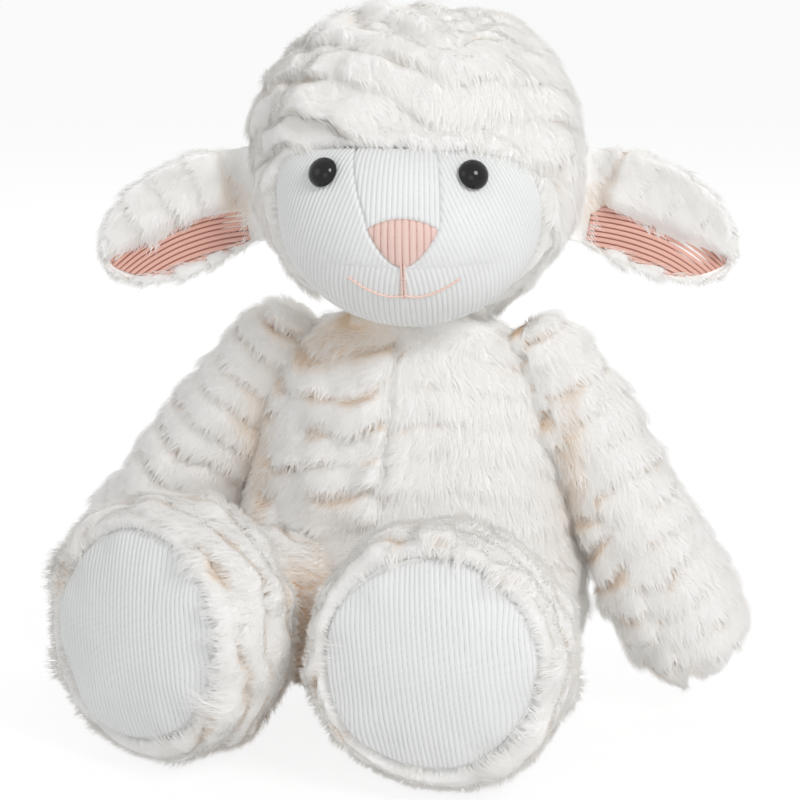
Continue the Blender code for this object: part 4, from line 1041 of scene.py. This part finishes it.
for side, name in ((1, "ear_left"), (-1, "ear_right")):
    shift = 11.0 + side
    ear = skin(f"{name}_fur", ear_rows(150))
    points = places_of(ear)
    x, y, z = points.T
    along = x / ear_length
    half, cup, droop = ear_shape(along)
    level = (z - droop) / half
    hem = -0.20 + 0.10 * drift(points, 0.012, shift + 9) + 0.12 * np.sin(along * 9.0 + side)
    bare = (y + cup * level ** 2 < 0.0002) & (level < hem) & (level > -0.90) & (along > 0.06) & (along < 0.95)
    furred = np.where(bare, 0.0, 1.0)
    warp = 0.004 * drift(points, 0.02, shift) + 0.002 * drift(points, 0.009, shift + 2)
    phase = (-x * 0.9 + z * 0.35 + warp) / 0.0135
    relief = 0.0044 * (0.7 + 0.5 * drift(points, 0.016, shift + 4)) * furred
    relief = relief * smooth(1.0, 0.85, along) * smooth(-0.02, 0.14, along)
    comb = np.stack([np.full(len(points), 0.75), np.zeros(len(points)), -0.75 + 0.35 * smooth(-0.2, 0.8, level)], 1)
    comb += 0.45 * drifts(points, 0.018, shift)
    # The ear's folds take painted warm shade.
    ruffle(ear, phase, relief, comb, reach=0.9, fold_shade=0.55, even=0.5)
    place = ear_place(side)
    seat(ear, place, comb)
    nooks(ear)
    if side < 0:
        ear.data.flip_normals()
    pile = grow_pile(f"{name}_pile", ear, 61 + side, furred * smooth(-0.06, 0.02, along))
    out, across = np.meshgrid(np.linspace(lining_start, lining_end, 110), np.linspace(-1, 1, 110))
    half, cup, droop = ear_shape(out)
    high = lining_high - 0.40 * (1 - smooth(0.03, 0.16, out))
    middle = (lining_low + high) / 2
    level = lining_low + (high - lining_low) * (across + 1) / 2
    level = middle + (level - middle) * np.clip((0.965 - out) / 0.3, 0, 1) ** 0.35
    wave_in = 0.0016 * np.sin(out * 6.5 + level * 2.2 + side) * (1 - level ** 2)
    grid = np.stack([out * ear_length, -cup * level ** 2 - 0.0016 - wave_in * 0.6, level * half + droop], -1)
    # The lining's ribs are narrowed, which also widens the grooves' painted shade.
    rib = ribbed(level * half + 0.004 * out - 0.0045 * np.sin(2.6 * out), 0.0020) ** 1.5
    grid = grid[:, ::side] @ np.array(place.to_3x3()).T + np.array(place.translation)
    rib = rib[:, ::side]
    lining = cloth(f"{name}_lining_cloth", grid, rib, 0.0002 * (1 - rib), PINK_CORDUROY_SHADED)
    fur_cover(f"{name}_cover", name, 0.5, ear, pile)
    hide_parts(f"{name}_lining")
    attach(lining, name)


# Soles.
# Round pads of the white corduroy, sewn into the end of each foot and bulged by the filling.
sole_bulge, pucker_depth, sole_edge = 0.0016, 0.0009, 0.0030

for side, name in ((1, "leg_left"), (-1, "leg_right")):
    u, v = np.meshgrid(np.linspace(-1, 1, 216), np.linspace(-1, 1, 96))
    x, y = u * np.sqrt(1 - v * v / 2), v * np.sqrt(1 - u * u / 2)
    radius, turn = np.hypot(x, y), np.arctan2(y, x)
    pucker = sum(np.sin(k * turn + k * k + side) for k in (5, 7, 11)) / 3
    swell = sole_dome * (1 - radius ** 2) + sole_bulge * (1 - radius ** 4)
    swell += pucker_depth * pucker * smooth(0.55, 0.95, radius) - sole_edge * smooth(0.965, 1.0, radius)
    outline = sole_radius * (1 + 0.020 * np.sin(2 * turn + 0.6 * side) + 0.010 * np.sin(5 * turn + side))
    base = np.stack([x * outline, y * outline, leg_length + swell], -1)
    rib = ribbed(base[..., 0] + 0.12 * base[..., 1] + 0.0010 * pucker * radius ** 4)
    place = leg_place(name)
    base = base @ np.array(place.to_3x3()).T + np.array(place.translation)
    sole = cloth(name.replace("leg", "sole") + "_cloth", base, rib, np.zeros(rib.shape), WHITE_CORDUROY)
    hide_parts(name.replace("leg", "sole"))
    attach(sole, name)


# Tail.
# A short stub of the same fur on the back of the seat, hanging from its seam.
tail_rise, tail_back, tail_droop = 0.050, 0.065324, math.radians(-25)
tail_root, tail_radius, tail_length, sunk = 0.012, 0.013, 0.028, 0.003
tail_place = Matrix.Translation((0, tail_back, tail_rise)) @ Matrix.Rotation(-math.pi / 2 + tail_droop, 4, "X")
outline = cap(tail_root - sunk, 0, -90, -10)
outline += [(tail_root * 0.96 - sunk, tail_length * 0.35), (tail_radius - sunk, tail_length * 0.75)]
outline += cap(tail_radius * 0.9 - sunk, tail_length, 0, 90, 10)
tail = skin("tail_fur", limb_rows(outline, 64, 0.0012))
points = places_of(tail)
comb = np.tile((0.0, 0.0, 1.0), (len(points), 1)) + 0.5 * drifts(points, 0.015, 70.0)
phase = -(points[:, 2] + 0.004 * drift(points, 0.018, 71.0)) / 0.0120
ruffle(tail, phase, 0.0028 * (0.7 + 0.5 * drift(points, 0.015, 75.0)), comb)
seat(tail, tail_place, comb)
fur_cover("tail", "tail", 0.7, tail, grow_pile("tail_pile", tail, 81))


# Filling.
# Fibre stuffing in every part, a cloth bag of pellets in the seat and a white washer on each eye's
# shank. None of it shows until the toy is opened.
def speckled(name, low, high, scale, roughness, bump_depth):
    finish, shader, add = new_finish(name, Roughness=roughness)
    specks = grain(add, scale, Detail=5)
    feed(shader, Base_Color=ramp(add, specks, (0.0, low), (1.0, high)), Normal=bumped(add, specks, bump_depth))
    return finish


fibre = speckled("fibre", (0.80, 0.80, 0.79), (0.95, 0.95, 0.94), 420, 0.95, 0.0008)
bag_cloth = speckled("pellet_cloth", (0.62, 0.58, 0.50), (0.80, 0.77, 0.70), 900, 0.9, 0.0003)
washer = speckled("washer_white", (0.78, 0.78, 0.76), (0.84, 0.84, 0.82), 300, 0.4, 0.0001)
limbs = ("torso", "head", "arm_left", "arm_right", "leg_left", "leg_right")
for node, finish in (
    *((f"{limb}_stuffing", fibre) for limb in limbs),
    ("seat_pellet_bag", bag_cloth),
    ("eye_washer_left", washer),
    ("eye_washer_right", washer),
):
    bpy.data.objects[node].material_slots[0].material = finish


bpy.context.scene.cycles.diffuse_bounces = 12
bpy.context.scene.cycles.max_bounces = 16
